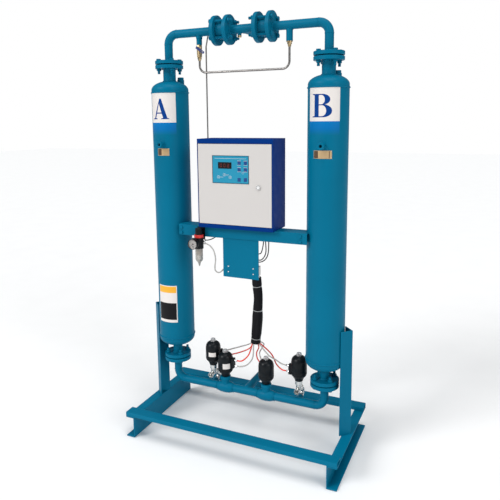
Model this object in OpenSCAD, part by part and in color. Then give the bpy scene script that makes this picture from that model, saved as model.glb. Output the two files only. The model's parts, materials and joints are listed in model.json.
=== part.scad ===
/* Twin-tower heatless adsorption air dryer on an open skid.
   Millimetres, +X to tower B, +Y to the rear, +Z up, origin on the floor at the skid's centre. */

/* [Skid] */
// Overall width of the skid across the side channels
skid_w = 1316; // [1310:2:1324]
// Depth of the skid, front to rear
skid_d = 680; // [670:5:700]
// Height of each side channel
beam_h = 132; // [126:2:136]
// Width of a side channel's flanges
beam_flange = 58; // [54:1:60]
// Height of the rails laid across the channels
rail_h = 26; // [22:1:30]
// Depth of each rail
rail_d = 68; // [60:2:72]
// Height of the tops of the angle uprights above the floor
upright_top = 750; // [700:5:780]
// Leg length of the angle uprights
upright_leg = 75; // [70:1:78]

/* [Towers] */
// Outside radius of each tower shell
tower_r = 109.5; // [108:0.5:110]
// Wall thickness of the shell
tower_wall = 6; // [4:0.5:8]
// Radius of the pipe flanges
flange_r = 82; // [80:0.5:84]
// Thickness of the pipe flanges
flange_t = 20; // [18:0.5:20]

/* [Piping] */
// Outside radius of the main pipes
pipe_r = 24; // [22:0.5:25]
// Height of the top pipe's axis
top_z = 2401; // [2395:1:2410]
// Height of the manifold's axis
man_z = 264; // [260:1:266]
// Outside radius of the purge tube
purge_r = 6; // [4:0.5:7]

/* [Control box] */
// Width of the control box
box_w = 460; // [456:1:462]
// Height of the control box
box_h = 504; // [500:1:510]
// Depth of the control box
box_d = 190; // [170:2:200]
// Diameter of the lock's face
lock_d = 26; // [20:1:30]

/* [Valves] */
// Radius of the valve actuators
act_r = 47; // [44:0.5:49]
// Stroke of the valve spindles
stroke = 14; // [8:1:14]
// Radius of the pressure gauge
gauge_r = 30; // [24:1:31]

/* [Hidden] */
$fn = 64;
eps = 0.5;
tower_x = 487;
tower_y = 5;
skid_x = skid_w / 2;
skid_y = skid_d / 2;
web_x = skid_x - beam_flange;
beam_t = 6;
rail_t = 6;
vertex_dx = 158;
upright_t = 6;
shell_lo = 566;
shell_hi = 2067;
head_skirt = 15;
head_h = 55;
head_steps = 10;
ring_r = tower_r + 2;
ring_h = 8;
neck_top_r = 37;
neck_low_r = 29;
bore_r = pipe_r - 3.5;
pcd = 125;
bolt_r = 8;
bolt_hole_r = 9;
face_r = 50;
face_t = 2;
gasket_t = 2;
elbow_r = 57;
top_joint = 2229;
low_joint = 420;
joint_half = gasket_t / 2 + face_t;
// Check valve stations along the top pipe
chk_in = 78;
chk_t = 22;
chk_out = 178;
chk_body_r = 50;
stud_in = 28;
branch_end = 165;
branch_r = 30;
branch_len = 42;
branch_less = 1;
thread_r = 22.4;
thread_len = 25;
// Purge line
purge_bend = 40;
purge_z = 2175;
purge_xr = 268;
purge_xl = -281;
purge_valve_z = 2312;
lever_tilt = 35;
ball_r = 10.7;
ball_bore = 5;
// Crossbar
bar_y = -101;
bar_t = 6;
bar_lo = 1235;
bar_hi = 1298;
bar_deep = 100;
bar_x0 = -388;
bar_x1 = 408;
lug_x = 388;
lug_t = 8;
screw_x = 370;
// Control box
box_x0 = -233;
box_y0 = -137;
box_z0 = bar_hi;
sheet = 2;
door_x0 = -227;
door_x1 = box_x0 + box_w - 8;
door_z0 = box_z0 + 24;
door_z1 = box_z0 + box_h - 28;
door_gap = 2.5;
door_deep = 16;
lip = 12;
pivot = 3.5;
pin_r = 2;
eye_h = 8;
eye_z = [door_z0 - door_gap - eye_h, door_z1 + door_gap];
fit_gap = 0.1;
cable_x = [-110, 0, 60];
cable_y = 25;
cable_r = 14;
panel_x0 = -137;
panel_z0 = 1556;
panel_w = 224;
panel_h = 155;
panel_t = 1.6;
key_w = 18;
key_h = 20;
key_t = 1.4;
keys = [[29, 1671], [29, 1634], [67, 1671], [67, 1634], [28, 1579], [66, 1579]];
lock_x = 143;
lock_z = 1540;
// Plate and solenoid valves
plate_x0 = -100;
plate_x1 = 123;
plate_z0 = 1006;
plate_y = bar_y + bar_t;
plate_t = 3;
bank_y = plate_y + plate_t;
// Filter regulator
reg_x = -236;
reg_y = -134;
gauge_x = -243;
gauge_z = 1205;
gauge_y0 = reg_y - 67;
gauge_deep = 25;
supply_z = 1203;
feed_z = 1221;
fitting_x = 42;
// Manifold
valve_x = [-147, 125];
inlet_x = -11;
inlet_end = 330;
seat_z = man_z;
act_low = 337;
exh_x = [-244.5, 323.5];
exh_y = 31;
exh_z = 326;
act_high = 384;
exh_front = -11;
exh_back = 64;
exh_thread_r = 10.8;
exh_thread_len = 20;
act_total = 155;
cap_h = 17;
cap_r = 16;
stem_r = 5;
run_gap = 0.05;
port_low_a = 44;
port_low_b = 80;
port_high_a = 74;
port_high_b = 110;
port_reach = 80;
// Steel grey, teal paint and the other finishes
teal = [0.0, 0.45, 0.6];
blue = [0.0, 0.22, 0.52];
cream = [0.87, 0.86, 0.84];
steel = [0.62, 0.62, 0.62];
brass = [0.78, 0.6, 0.3];
black = [0.05, 0.05, 0.055];
red = [0.85, 0.16, 0.12];
grey = [0.6, 0.6, 0.58];

// ---------- helpers ----------
module revolve(pts) {
    rotate_extrude($fn = 96) polygon(pts);
}

// Cylinder along X or Y given its two ends
module along_x(r, x0, x1) {
    translate([x0, 0, 0]) rotate([0, 90, 0]) cylinder(r = r, h = x1 - x0);
}

module along_y(r, y0, y1) {
    translate([0, y1, 0]) rotate([90, 0, 0]) cylinder(r = r, h = y1 - y0);
}

module block(a, b) {
    translate(a) cube(b - a);
}

// Quarter bend in the XZ plane, its centre at the origin
module bend_xz(bend, r) {
    rotate([90, 0, 0]) rotate_extrude(angle = 90, $fn = 96) translate([bend, 0]) circle(r = r);
}

// Flange disc on +Z with its raised face on top, four holes straddling the axes
module flange(r = flange_r, t = flange_t) {
    difference() {
        union() {
            cylinder(r = r, h = t);
            translate([0, 0, t - eps]) cylinder(r = face_r, h = face_t + eps);
        }
        for (a = [45:90:315]) {
            rotate(a) translate([pcd / 2, 0, -1]) cylinder(r = bolt_hole_r, h = t + 2);
        }
    }
}

// Hexagon prism with its across-flats size
module hex(af, h) {
    cylinder(d = af / cos(30), h = h, $fn = 6);
}

// Unit vector, heading and side of a swept tube's rings, the side carried on from ring to ring
function unit(v) = v / norm(v);
function heading(p, i) = unit(p[min(i + 1, len(p) - 1)] - p[max(i - 1, 0)]);
function side(d) = unit(cross(d, abs(d[1]) > 0.7 ? [1, 0, 0] : [0, 1, 0]));
function carried(p, i) = i == 0 ? side(heading(p, 0)) :
    let (d = heading(p, i), s = carried(p, i - 1)) unit(s - (s * d) * d);

// Round tube swept along hand-chosen points
module sweep(p, r, n) {
    rings = [for (i = [0:len(p) - 1])
        let (d = heading(p, i), s = carried(p, i), t = cross(d, s))
        [for (k = [0:n - 1]) p[i] + r * cos(360 * k / n) * s + r * sin(360 * k / n) * t]];
    last = len(p) - 1;
    polyhedron(
        points = [for (ring = rings) each ring],
        faces = concat(
            [[for (k = [0:n - 1]) k]],
            [[for (k = [n - 1:-1:0]) last * n + k]],
            [for (i = [0:last - 1]) for (k = [0:n - 1])
                [i * n + (k + 1) % n, i * n + k, (i + 1) * n + k, (i + 1) * n + (k + 1) % n]]));
}

// ---------- skid ----------
module beam(s) {
    block_x0 = s > 0 ? web_x : -skid_x;
    color(teal) difference() {
        translate([block_x0, -skid_y, 0]) cube([beam_flange, skid_d, beam_h]);
        translate([s > 0 ? web_x + beam_t : -skid_x - 1, -skid_y - 1, 8])
            cube([beam_flange - beam_t + 1, skid_d + 2, beam_h - 16]);
    }
}

module beam_left() {
    beam(-1);
}

module beam_right() {
    beam(1);
}

module rail(y0) {
    difference() {
        translate([-skid_x, y0, beam_h]) cube([skid_w, rail_d, rail_h]);
        translate([-skid_x - 1, y0 + rail_t, beam_h - 1]) cube([skid_w + 2, rail_d - 2 * rail_t, rail_h - rail_t + 1]);
    }
}

module rails() {
    color(teal) for (y0 = [-skid_y, skid_y - rail_d]) rail(y0);
}

// Angle iron with its vertex outward and its legs round the tower
module upright(s) {
    color(teal) translate([s * (tower_x + vertex_dx), tower_y, beam_h]) rotate(s > 0 ? 135 : -45) {
        difference() {
            cube([upright_leg, upright_leg, upright_top - beam_h]);
            translate([upright_t, upright_t, -1]) cube([upright_leg, upright_leg, upright_top - beam_h + 2]);
        }
    }
}

module upright_left() {
    upright(-1);
}

module upright_right() {
    upright(1);
}

// ---------- towers ----------
function head_pts(r, z, h, s) = [for (i = [0:head_steps]) let (a = 90 * i / head_steps) [r * cos(a), z + s * h * sin(a)]];
function shell_pts(inset) = concat(
    [for (i = [head_steps:-1:0]) head_pts(tower_r - inset, shell_lo - head_skirt, head_h - inset, -1)[i]],
    head_pts(tower_r - inset, shell_hi + head_skirt, head_h - inset, 1));

module tower(s) {
    difference() {
        union() {
            revolve(shell_pts(0));
            for (z = [shell_lo, shell_hi]) translate([0, 0, z - ring_h / 2]) cylinder(r = ring_r, h = ring_h);
            translate([0, 0, shell_hi + 40]) cylinder(r = neck_top_r, h = top_joint - joint_half - shell_hi - 45);
            translate([0, 0, top_joint - joint_half - flange_t]) flange();
            translate([0, 0, low_joint + joint_half + 5]) cylinder(r = neck_low_r, h = 95);
            translate([0, 0, low_joint + joint_half + flange_t]) mirror([0, 0, 1]) flange();
            // gauge boss on the front and filling boss on the top head
            translate([0, 0, 1766]) along_y(19, -tower_r - 32, -tower_r + 10);
            translate([26, 83, shell_hi + 22]) cylinder(r = 21, h = 58);
            // lug for the crossbar
            translate([-s * tower_x, -tower_y, 0]) {
                x0 = s < 0 ? -lug_x : lug_x - lug_t;
                block([x0, bar_y + bar_t, bar_lo + 3], [x0 + lug_t, -20, bar_hi - bar_t - 2]);
                f0 = s < 0 ? -lug_x : lug_x - 50;
                block([f0, bar_y + bar_t, bar_lo + 3], [f0 + 50, bar_y + bar_t + lug_t, bar_hi - bar_t - 2]);
            }
        }
        difference() {
            revolve(shell_pts(tower_wall));
            for (z = [590, 2026]) translate([0, 0, z]) difference() {
                cylinder(r = tower_r, h = 6);
                translate([0, 0, -1]) cylinder(r = 96, h = 8);
            }
        }
        translate([0, 0, shell_hi + 30]) cylinder(r = bore_r, h = 200);
        translate([0, 0, 400]) cylinder(r = bore_r, h = 120);
        translate([0, 0, 1766]) along_y(9.5, -tower_r - 33, -tower_r + tower_wall + 4);
        translate([26, 83, shell_hi + 10]) cylinder(r = 12, h = 80);
        translate([-s * tower_x, -tower_y, 0]) for (z = [1250, 1280]) {
            translate([s * screw_x, 0, z]) along_y(5.5, bar_y, bar_y + bar_t + lug_t + 1);
        }
    }
}

module tower_a() {
    color(teal) translate([-tower_x, tower_y, 0]) tower(-1);
}

module tower_b() {
    color(teal) translate([tower_x, tower_y, 0]) tower(1);
}

module desiccant_beds() {
    color(cream) for (s = [-1, 1]) translate([s * tower_x, tower_y, 600])
        cylinder(r = tower_r - tower_wall - 0.5, h = 1422);
}

module screens() {
    color(steel) for (s = [-1, 1], z = [596, 2022]) translate([s * tower_x, tower_y, z]) difference() {
        cylinder(r = tower_r - tower_wall - 0.5, h = 4);
        for (ring = [0:3], k = [0:ring * 6]) rotate(k * 360 / (ring * 6 + 1))
            translate([ring * 26, 0, -1]) cylinder(r = 6, h = 6, $fn = 24);
    }
}

module fill_plugs() {
    color(teal) for (s = [-1, 1]) translate([s * tower_x + 26, tower_y + 83, 0]) {
        translate([0, 0, shell_hi + 80]) hex(32, 14);
        translate([0, 0, shell_hi + 60]) cylinder(r = 11.9, h = 20 + eps);
    }
}

module nameplates() {
    color(brass) for (plate = [[-1, -105, 39], [1, -115, 52]])
        translate([plate[0] * tower_x, tower_y, 1701]) rotate(plate[1])
        rotate_extrude(angle = plate[2], $fn = 96) translate([tower_r - 0.2, 0]) square([1.6, 42]);
}

// ---------- top piping ----------
module pipe_void(s) {
    translate([s * tower_x, tower_y, top_joint]) cylinder(r = bore_r, h = top_z - elbow_r - top_joint);
    translate([s * (tower_x - elbow_r), tower_y, top_z - elbow_r]) mirror([s < 0 ? 1 : 0, 0, 0]) bend_xz(elbow_r, bore_r);
    translate([0, tower_y, top_z]) mirror([s < 0 ? 1 : 0, 0, 0]) along_x(bore_r, chk_out - chk_t - 4, tower_x - elbow_r);
}

module top_pipe(s, stub_x, stub_r, stub_low) {
    difference() {
        union() {
            translate([s * tower_x, tower_y, top_joint + joint_half + flange_t]) mirror([0, 0, 1]) flange();
            translate([s * tower_x, tower_y, top_joint + joint_half + 2])
                cylinder(r = pipe_r, h = top_z - elbow_r - top_joint - joint_half - 2);
            translate([s * (tower_x - elbow_r), tower_y, top_z - elbow_r]) mirror([s < 0 ? 1 : 0, 0, 0])
                bend_xz(elbow_r, pipe_r);
            translate([0, tower_y, top_z]) mirror([s < 0 ? 1 : 0, 0, 0]) {
                along_x(pipe_r, chk_out - 2, tower_x - elbow_r);
                translate([chk_out, 0, 0]) rotate([0, -90, 0]) flange(flange_r, chk_t);
            }
            translate([stub_x, tower_y, stub_low]) cylinder(r = stub_r, h = top_z - stub_low);
        }
        pipe_void(s);
        translate([stub_x, tower_y, stub_low - 1]) cylinder(r = 8, h = top_z - stub_low);
    }
}

module top_pipe_left() {
    color(teal) top_pipe(-1, purge_xl, 18, 2364);
}

module top_pipe_right() {
    color(teal) top_pipe(1, purge_xr, 18, 2318);
}

module centre_pipe() {
    color(teal) translate([0, tower_y, top_z]) difference() {
        union() {
            along_x(pipe_r, -chk_in - 2, chk_in + 2);
            translate([-chk_in, 0, 0]) rotate([0, -90, 0]) flange(flange_r, chk_t);
            translate([chk_in, 0, 0]) rotate([0, 90, 0]) flange(flange_r, chk_t);
            along_y(pipe_r - branch_less, 0, branch_end - 5);
            along_y(branch_r, branch_end - branch_len, branch_end);
            translate([-26, 0, -34]) cylinder(r = 11, h = 30);
        }
        along_x(bore_r, -chk_out, chk_out);
        along_y(bore_r - branch_less, 0, branch_end + 1);
        along_y(thread_r, branch_end - thread_len, branch_end + 1);
        translate([-26, 0, -40]) cylinder(r = 5, h = 40);
    }
}

// Wafer body between two flanges, seat towards the tower
chk_lo = chk_in + chk_t + face_t + gasket_t;
chk_hi = chk_out - chk_t - face_t - gasket_t;
module check_bodies() {
    color(teal) for (s = [0, 1]) translate([0, tower_y, top_z]) mirror([s, 0, 0]) difference() {
        along_x(chk_body_r, chk_lo, chk_hi);
        along_x(30, chk_lo + 4, chk_hi - 10);
        along_x(14, chk_hi - 11, chk_hi + 1);
        for (a = [0:60:300]) rotate([a, 0, 0]) translate([0, 20, 0]) along_x(4.5, chk_lo - 1, chk_lo + 6);
    }
}

module check_disc(m) {
    color(steel) translate([0, tower_y, top_z]) mirror([m, 0, 0]) {
        along_x(20, chk_hi - 14, chk_hi - 10);
        along_x(3, chk_hi - 22, chk_hi - 13);
    }
}

module check_disc_left() {
    check_disc(1);
}

module check_disc_right() {
    check_disc(0);
}

// Coil spring between the wafer's inner wall and its disc
module check_spring(m) {
    spring_a = chk_lo + 4.6;
    spring_b = chk_hi - 14.6;
    turns = 3;
    per_turn = 6;
    color(steel) translate([0, tower_y, top_z]) mirror([m, 0, 0])
        sweep([for (i = [0:turns * per_turn]) let (a = 360 * i / per_turn)
            [spring_a + (spring_b - spring_a) * i / (turns * per_turn), 10 * cos(a), 10 * sin(a)]], 0.6, 5);
}

module check_spring_left() {
    check_spring(1);
}

module check_spring_right() {
    check_spring(0);
}

module ring_gasket() {
    difference() {
        cylinder(r = face_r, h = gasket_t);
        translate([0, 0, -1]) cylinder(r = bore_r, h = gasket_t + 2);
    }
}

module gaskets() {
    color(black) {
        for (s = [-1, 1], z = [top_joint, low_joint]) translate([s * tower_x, tower_y, z - gasket_t / 2]) ring_gasket();
        for (m = [0, 1], x = [chk_lo - gasket_t, chk_hi]) translate([0, tower_y, top_z]) mirror([m, 0, 0])
            translate([x, 0, 0]) rotate([0, 90, 0]) ring_gasket();
    }
}

module flange_bolts() {
    grip = 2 * (flange_t + joint_half);
    color(teal) for (s = [-1, 1], a = [45:90:315], joint = [[top_joint, 0], [low_joint, 1]])
        translate([s * tower_x, tower_y, joint[0]]) rotate(a) mirror([0, 0, joint[1]])
        translate([pcd / 2, 0, -grip / 2 - 30]) {
            cylinder(r = bolt_r, h = grip + 30 + eps);
            translate([0, 0, grip + 30]) hex(24, 10);
            translate([0, 0, 17]) hex(24, 13);
        }
}

module check_studs() {
    color(teal) for (m = [0, 1], a = [45:90:315]) translate([0, tower_y, top_z]) mirror([m, 0, 0])
        rotate([a, 0, 0]) translate([0, pcd / 2, 0]) {
            along_x(bolt_r, chk_in - stud_in, chk_out + 2);
            translate([chk_in - 13, 0, 0]) rotate([0, 90, 0]) hex(24, 13);
            translate([chk_out, 0, 0]) rotate([0, 90, 0]) hex(24, 13);
        }
}

// ---------- purge line ----------
module purge_tube() {
    top_r = 2289;
    top_l = 2242;
    color(steel) translate([0, tower_y, 0]) {
        translate([purge_xr, 0, purge_z + purge_bend]) cylinder(r = purge_r, h = top_r - purge_z - purge_bend);
        translate([purge_xl, 0, purge_z + purge_bend]) cylinder(r = purge_r, h = top_l - purge_z - purge_bend);
        translate([0, 0, purge_z]) along_x(purge_r, purge_xl + purge_bend, purge_xr - purge_bend);
        translate([purge_xr - purge_bend, 0, purge_z + purge_bend]) rotate([0, 90, 0]) bend_xz(purge_bend, purge_r);
        translate([purge_xl + purge_bend, 0, purge_z + purge_bend]) rotate([0, 180, 0]) bend_xz(purge_bend, purge_r);
    }
}

module purge_fittings() {
    color(brass) translate([0, tower_y, 0]) {
        // right: plug, hexagon and compression nut under the stub
        translate([purge_xr, 0, 2312]) cylinder(r = 17, h = 6);
        translate([purge_xr, 0, 2300]) hex(22, 12 + eps);
        translate([purge_xr, 0, 2289]) cylinder(r = 9, h = 11 + eps);
        // left: nipple above the valve and the nut below it
        translate([purge_xl, 0, 2331]) cylinder(r = 16, h = 33);
        translate([purge_xl, 0, 2250]) hex(20, 12);
        translate([purge_xl, 0, 2242]) cylinder(r = 8.5, h = 8 + eps);
        // plug under the centre pipe
        translate([-26, 0, top_z - 46]) hex(19, 12);
    }
}

module purge_valve() {
    color(brass) translate([purge_xl, tower_y, 0]) difference() {
        union() {
            translate([0, 0, 2262]) hex(28, 16);
            translate([0, 0, 2278 - eps]) cylinder(r = 15, h = 48);
            translate([0, 0, 2321]) hex(28, 10);
            translate([0, 0, purge_valve_z]) along_y(9, -20, -5);
        }
        translate([0, 0, 2261]) cylinder(r = ball_bore, h = 80);
        translate([0, 0, purge_valve_z]) sphere(r = ball_r + 0.3);
        translate([0, 0, purge_valve_z]) along_y(4 + run_gap, -21, 0);
    }
}

module purge_handle() {
    color(blue) translate([purge_xl, tower_y, purge_valve_z]) rotate([0, lever_tilt, 0]) {
        difference() {
            sphere(r = ball_r);
            along_x(ball_bore, -ball_r - 1, ball_r + 1);
        }
        along_y(4, -27, -8);
        difference() {
            union() {
                translate([-9, -27, -8]) cube([54, 5, 14]);
                translate([45, 0, -1]) along_y(7, -27, -22);
            }
            translate([24, -28, -3]) cube([20, 7, 4]);
        }
    }
}

// Straight rod between two points with a round end, for the rigid line's runs
module rod(r, a, b) {
    v = b - a;
    translate(a) {
        rotate([0, acos(v[2] / norm(v)), atan2(v[1], v[0])]) cylinder(r = r, h = norm(v));
        sphere(r = r);
    }
}

line_pts = [[-251, 30, 1700], [-251, 30, 2320], [-232, 21.5, 2384.5]];
module pressure_line() {
    color(steel) {
        for (i = [0:1]) rod(4, line_pts[i], line_pts[i + 1]);
        rod(4, line_pts[0], [box_x0, 30, 1688]);
    }
}

// ---------- crossbar, plate and solenoid valves ----------
module crossbar() {
    color(teal) difference() {
        union() {
            block([bar_x0, bar_y, bar_lo], [bar_x1, bar_y + bar_t, bar_hi]);
            block([bar_x0, bar_y, bar_hi - bar_t], [bar_x1, bar_y + bar_deep, bar_hi]);
        }
        for (s = [-1, 1], z = [1250, 1280]) translate([s * screw_x, 0, z]) along_y(5.5, bar_y - 1, bar_y + bar_t + 1);
        for (s = [-1, 1]) translate([s * tower_x, tower_y, bar_lo - 1]) cylinder(r = tower_r + 1, h = bar_hi - bar_lo + 2);
    }
}

module bar_screws() {
    color(steel) {
        for (s = [-1, 1], z = [1250, 1280]) translate([s * screw_x, 0, z]) {
            along_y(5, bar_y - eps, bar_y + bar_t + lug_t + 12);
            translate([0, bar_y, 0]) rotate([90, 0, 0]) hex(17, 6.4);
            translate([0, bar_y + bar_t + lug_t + 8, 0]) rotate([90, 0, 0]) hex(17, 8);
        }
        for (x = [-67, 90], z = [1038, 1070]) translate([x, 0, z]) {
            along_y(2.5, plate_y - eps, bank_y + 12);
            along_y(4.5, plate_y - 3, plate_y);
        }
    }
}

module valve_plate() {
    color(teal) difference() {
        block([plate_x0, plate_y, plate_z0], [plate_x1, plate_y + plate_t, bar_hi - bar_t - 2]);
        for (x = [-67, 90], z = [1038, 1070]) translate([x, 0, z]) along_y(3, plate_y - 1, bank_y + 1);
    }
}

module solenoid_bank() {
    color(black) difference() {
        union() {
            block([-84, bank_y, 1026], [120, bank_y + 34, 1082]);
            for (k = [0:3]) {
                x = -76 + 49 * k;
                block([x, bank_y, 1082 - eps], [x + 40, bank_y + 30, 1130]);
                block([x + 6, bank_y + 2, 1130 - eps], [x + 34, bank_y + 30, 1166]);
                block([x + 10, bank_y + 30 - eps, 1136], [x + 30, bank_y + 46, 1160]);
            }
            for (x = [80, 91, 102, 113], y = [bank_y + 10, bank_y + 23]) translate([x, y, 1010]) cylinder(r = 5, h = 17, $fn = 32);
            translate([-84 - 14, bank_y + 17, 1054]) along_x(6, 0, 15);
        }
        for (x = [-67, 90], z = [1038, 1070]) translate([x, 0, z]) along_y(2.5, bank_y - 1, bank_y + 12.5);
    }
}

// ---------- control box ----------
module box_shell() {
    x1 = box_x0 + box_w;
    y1 = box_y0 + box_d;
    z1 = box_z0 + box_h;
    hole_lo = [door_x0 - door_gap, box_y0 - 1, door_z0 - door_gap];
    hole_hi = [door_x1 + door_gap, box_y0 + door_deep + 3, door_z1 + door_gap];
    color(blue) difference() {
        union() {
            difference() {
                block([box_x0, box_y0, box_z0], [x1, y1, z1]);
                block([box_x0 + sheet, box_y0 + sheet, box_z0 + sheet], [x1 - sheet, y1 - sheet, z1 - sheet]);
                block(hole_lo, hole_hi);
                for (x = cable_x) translate([x, cable_y, box_z0 - 1]) cylinder(r = cable_r, h = 5);
            }
            // hinge eyes for the door's pins
            for (z = eye_z) block([door_x0 - 5, box_y0 + eps, z], [door_x0 + 12, box_y0 + 12, z + eye_h]);
        }
        for (z = [door_z0 - door_gap - 10, door_z1 + door_gap - 1])
            translate([door_x0 + pivot, box_y0 + pivot, z]) cylinder(r = pin_r + run_gap, h = 11);
    }
    // inner frame behind the front sheet, with the lip that the door's seal and the lock's tongue meet
    color(blue) difference() {
        block([box_x0 + sheet + fit_gap, box_y0 + sheet + fit_gap, hole_lo[2] - sheet],
            [hole_hi[0] + sheet, box_y0 + door_deep + 5, hole_hi[2] + sheet]);
        block(hole_lo, hole_hi);
        block([hole_lo[0] + lip, box_y0, hole_lo[2] + lip],
            [hole_hi[0] - lip, box_y0 + door_deep + 9, hole_hi[2] - lip]);
        for (z = eye_z) block([door_x0 - 6, box_y0, z - fit_gap],
            [door_x0 + 12 + fit_gap, box_y0 + 12 + fit_gap, z + eye_h + fit_gap]);
    }
}

module box_door() {
    color(cream) {
        difference() {
            block([door_x0, box_y0, door_z0], [door_x1, box_y0 + door_deep, door_z1]);
            block([door_x0 + 9, box_y0 + sheet, door_z0 + sheet], [door_x1 - sheet, box_y0 + door_deep + 1, door_z1 - sheet]);
            translate([lock_x, 0, lock_z]) along_y(9 + run_gap, box_y0 - 1, box_y0 + 5);
            for (k = keys) block([k[0] - key_w / 2 - 1, box_y0 - 1, k[1] - key_h / 2 - 1],
                [k[0] + key_w / 2 + 1, box_y0 + 3, k[1] + key_h / 2 + 1]);
        }
        for (z = [door_z0 - door_gap - 7, door_z1 - eps]) translate([door_x0 + pivot, box_y0 + pivot, z])
            cylinder(r = pin_r, h = door_gap + 7 + eps);
    }
}

module box_lock() {
    color(steel) translate([lock_x, 0, lock_z]) {
        along_y(lock_d / 2, box_y0 - 6, box_y0 - 0.3);
        along_y(9, box_y0 - 1, box_y0 + 10);
        along_y(5, box_y0 + 9, box_y0 + 28);
        block([-8, box_y0 + 23, -8], [8, box_y0 + 26, 74]);
    }
}

module panel() {
    color([0.05, 0.62, 0.8]) difference() {
        block([panel_x0, box_y0 - panel_t, panel_z0], [panel_x0 + panel_w, box_y0, panel_z0 + panel_h]);
        for (k = keys) block([k[0] - key_w / 2 - 0.4, box_y0 - panel_t - 1, k[1] - key_h / 2 - 0.4],
            [k[0] + key_w / 2 + 0.4, box_y0 + 1, k[1] + key_h / 2 + 0.4]);
    }
}

module key(i) {
    k = keys[i];
    color(blue) block([k[0] - key_w / 2, box_y0 - panel_t - 0.4, k[1] - key_h / 2],
        [k[0] + key_w / 2, box_y0 - panel_t - 0.4 + key_t, k[1] + key_h / 2]);
}

module key_1() {
    key(0);
}

module key_2() {
    key(1);
}

module key_3() {
    key(2);
}

module key_4() {
    key(3);
}

module key_5() {
    key(4);
}

module key_6() {
    key(5);
}

module backplate() {
    color(steel) {
        block([box_x0 + 25, box_y0 + box_d - 16, box_z0 + 30],
            [box_x0 + box_w - 25, box_y0 + box_d - 14, box_z0 + box_h - 30]);
        for (x = [box_x0 + 40, box_x0 + box_w - 40], z = [box_z0 + 45, box_z0 + box_h - 45])
            translate([x, 0, z]) along_y(5, box_y0 + box_d - 14 - eps, box_y0 + box_d - sheet);
    }
}

module electronics() {
    back = box_y0 + box_d - 16;
    color(grey) {
        block([box_x0 + 45, back - 7, 1400], [box_x0 + box_w - 45, back, 1435]);
        block([box_x0 + 45, back - 7, 1560], [box_x0 + box_w - 45, back, 1595]);
        for (k = [0:15]) block([box_x0 + 60 + 20 * k, back - 46, 1390], [box_x0 + 78 + 20 * k, back - 7, 1445]);
        block([box_x0 + 60, back - 60, 1540], [box_x0 + 150, back - 7, 1615]);
        for (k = [0:4]) block([box_x0 + 170 + 42 * k, back - 55, 1545], [box_x0 + 205 + 42 * k, back - 7, 1610]);
    }
}

// ---------- filter regulator ----------
module regulator_body() {
    color(black) {
        difference() {
            translate([reg_x, reg_y, 0]) union() {
                translate([0, 0, 1176]) cylinder(r = 25, h = 58);
                translate([0, 0, 1170]) cylinder(r = 26.5, h = 20);
                block([-30, -12, 1196], [30, 12, 1230]);
                translate([0, 0, 1205]) along_y(8, -30, 0);
            }
            translate([reg_x, reg_y, 1160]) cylinder(r = 22.1, h = 18);
            translate([reg_x, reg_y, 1216]) cylinder(r = 15, h = 30);
            translate([reg_x, reg_y, gauge_z]) along_y(4.05, -31, -16);
        }
        // mounting bracket on the crossbar
        block([reg_x - 24, bar_y - 3, 1240], [reg_x + 24, bar_y, 1292]);
        block([reg_x - 18, reg_y + 16, 1206], [reg_x + 18, bar_y, 1232]);
        block([reg_x - 24, bar_y - 3, 1206], [reg_x + 24, bar_y, 1241]);
        // push-in fittings for the supply tube and the feed, and a plug on the left side
        for (z = [supply_z, feed_z]) translate([reg_x, reg_y, z]) along_x(6, 29, fitting_x);
        translate([reg_x, reg_y, 1222]) along_x(6.5, -42, -29);
    }
}

module regulator_knob() {
    translate([reg_x, reg_y, 0]) {
        color(red) translate([0, 0, 1234.4]) cylinder(r = 27, h = 17);
        color(black) difference() {
            translate([0, 0, 1251]) cylinder(r = 21, h = 39);
            for (a = [0:30:330]) rotate(a) translate([22, 0, 1257]) cylinder(r = 2.4, h = 34, $fn = 24);
        }
        color(black) translate([0, 0, 1222]) cylinder(r = 14.95, h = 13);
    }
}

module filter_bowl() {
    color([0.8, 0.8, 0.78]) translate([reg_x, reg_y, 0]) difference() {
        revolve([[0, 1064], [3, 1064], [5, 1076], [9, 1086], [22, 1102], [22, 1178], [0, 1178]]);
        revolve([[0, 1094], [10, 1094], [18.5, 1106], [18.5, 1180], [0, 1180]]);
    }
}

module pressure_gauge() {
    color(black) translate([gauge_x, gauge_y0, gauge_z]) difference() {
        union() {
            along_y(gauge_r, 0, gauge_deep);
            translate([reg_x - gauge_x, 0, 0]) along_y(4, gauge_deep - eps, gauge_deep + 24);
            block([min(0, reg_x - gauge_x) - 6, gauge_deep - eps, -6], [max(0, reg_x - gauge_x) + 6, gauge_deep + 7, 6]);
        }
        along_y(gauge_r - 3, -1, 9);
    }
}

module gauge_needle() {
    color(black) translate([gauge_x, gauge_y0, gauge_z]) {
        along_y(2.2, 3, 8.6);
        rotate([0, 45, 0]) translate([-1, 4, -19]) cube([2, 1.2, 24]);
    }
}

// ---------- manifold and valves ----------
module valve_outer(x) {
    translate([x, tower_y, man_z]) rotate([0, 90, 0])
        revolve([[0, -54], [pipe_r, -54], [29, -46], [34, -28], [36, 0], [34, 28], [29, 46], [pipe_r, 54], [0, 54]]);
    translate([x, tower_y, man_z]) cylinder(r = 27, h = act_low - 18 - man_z);
    translate([x, tower_y, act_low - 18]) cylinder(r = 32, h = 18);
}

// Bridge with the seat: flow passes under it, up through the seat and on
module bridge() {
    intersection() {
        union() {
            translate([-27, -30, -8]) cube([54, 60, 8]);
            translate([-27, -30, -1]) cube([4, 60, 26]);
            translate([23, -30, -25]) cube([4, 60, 25]);
        }
        along_x(bore_r + 1, -28, 28);
    }
}

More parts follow.
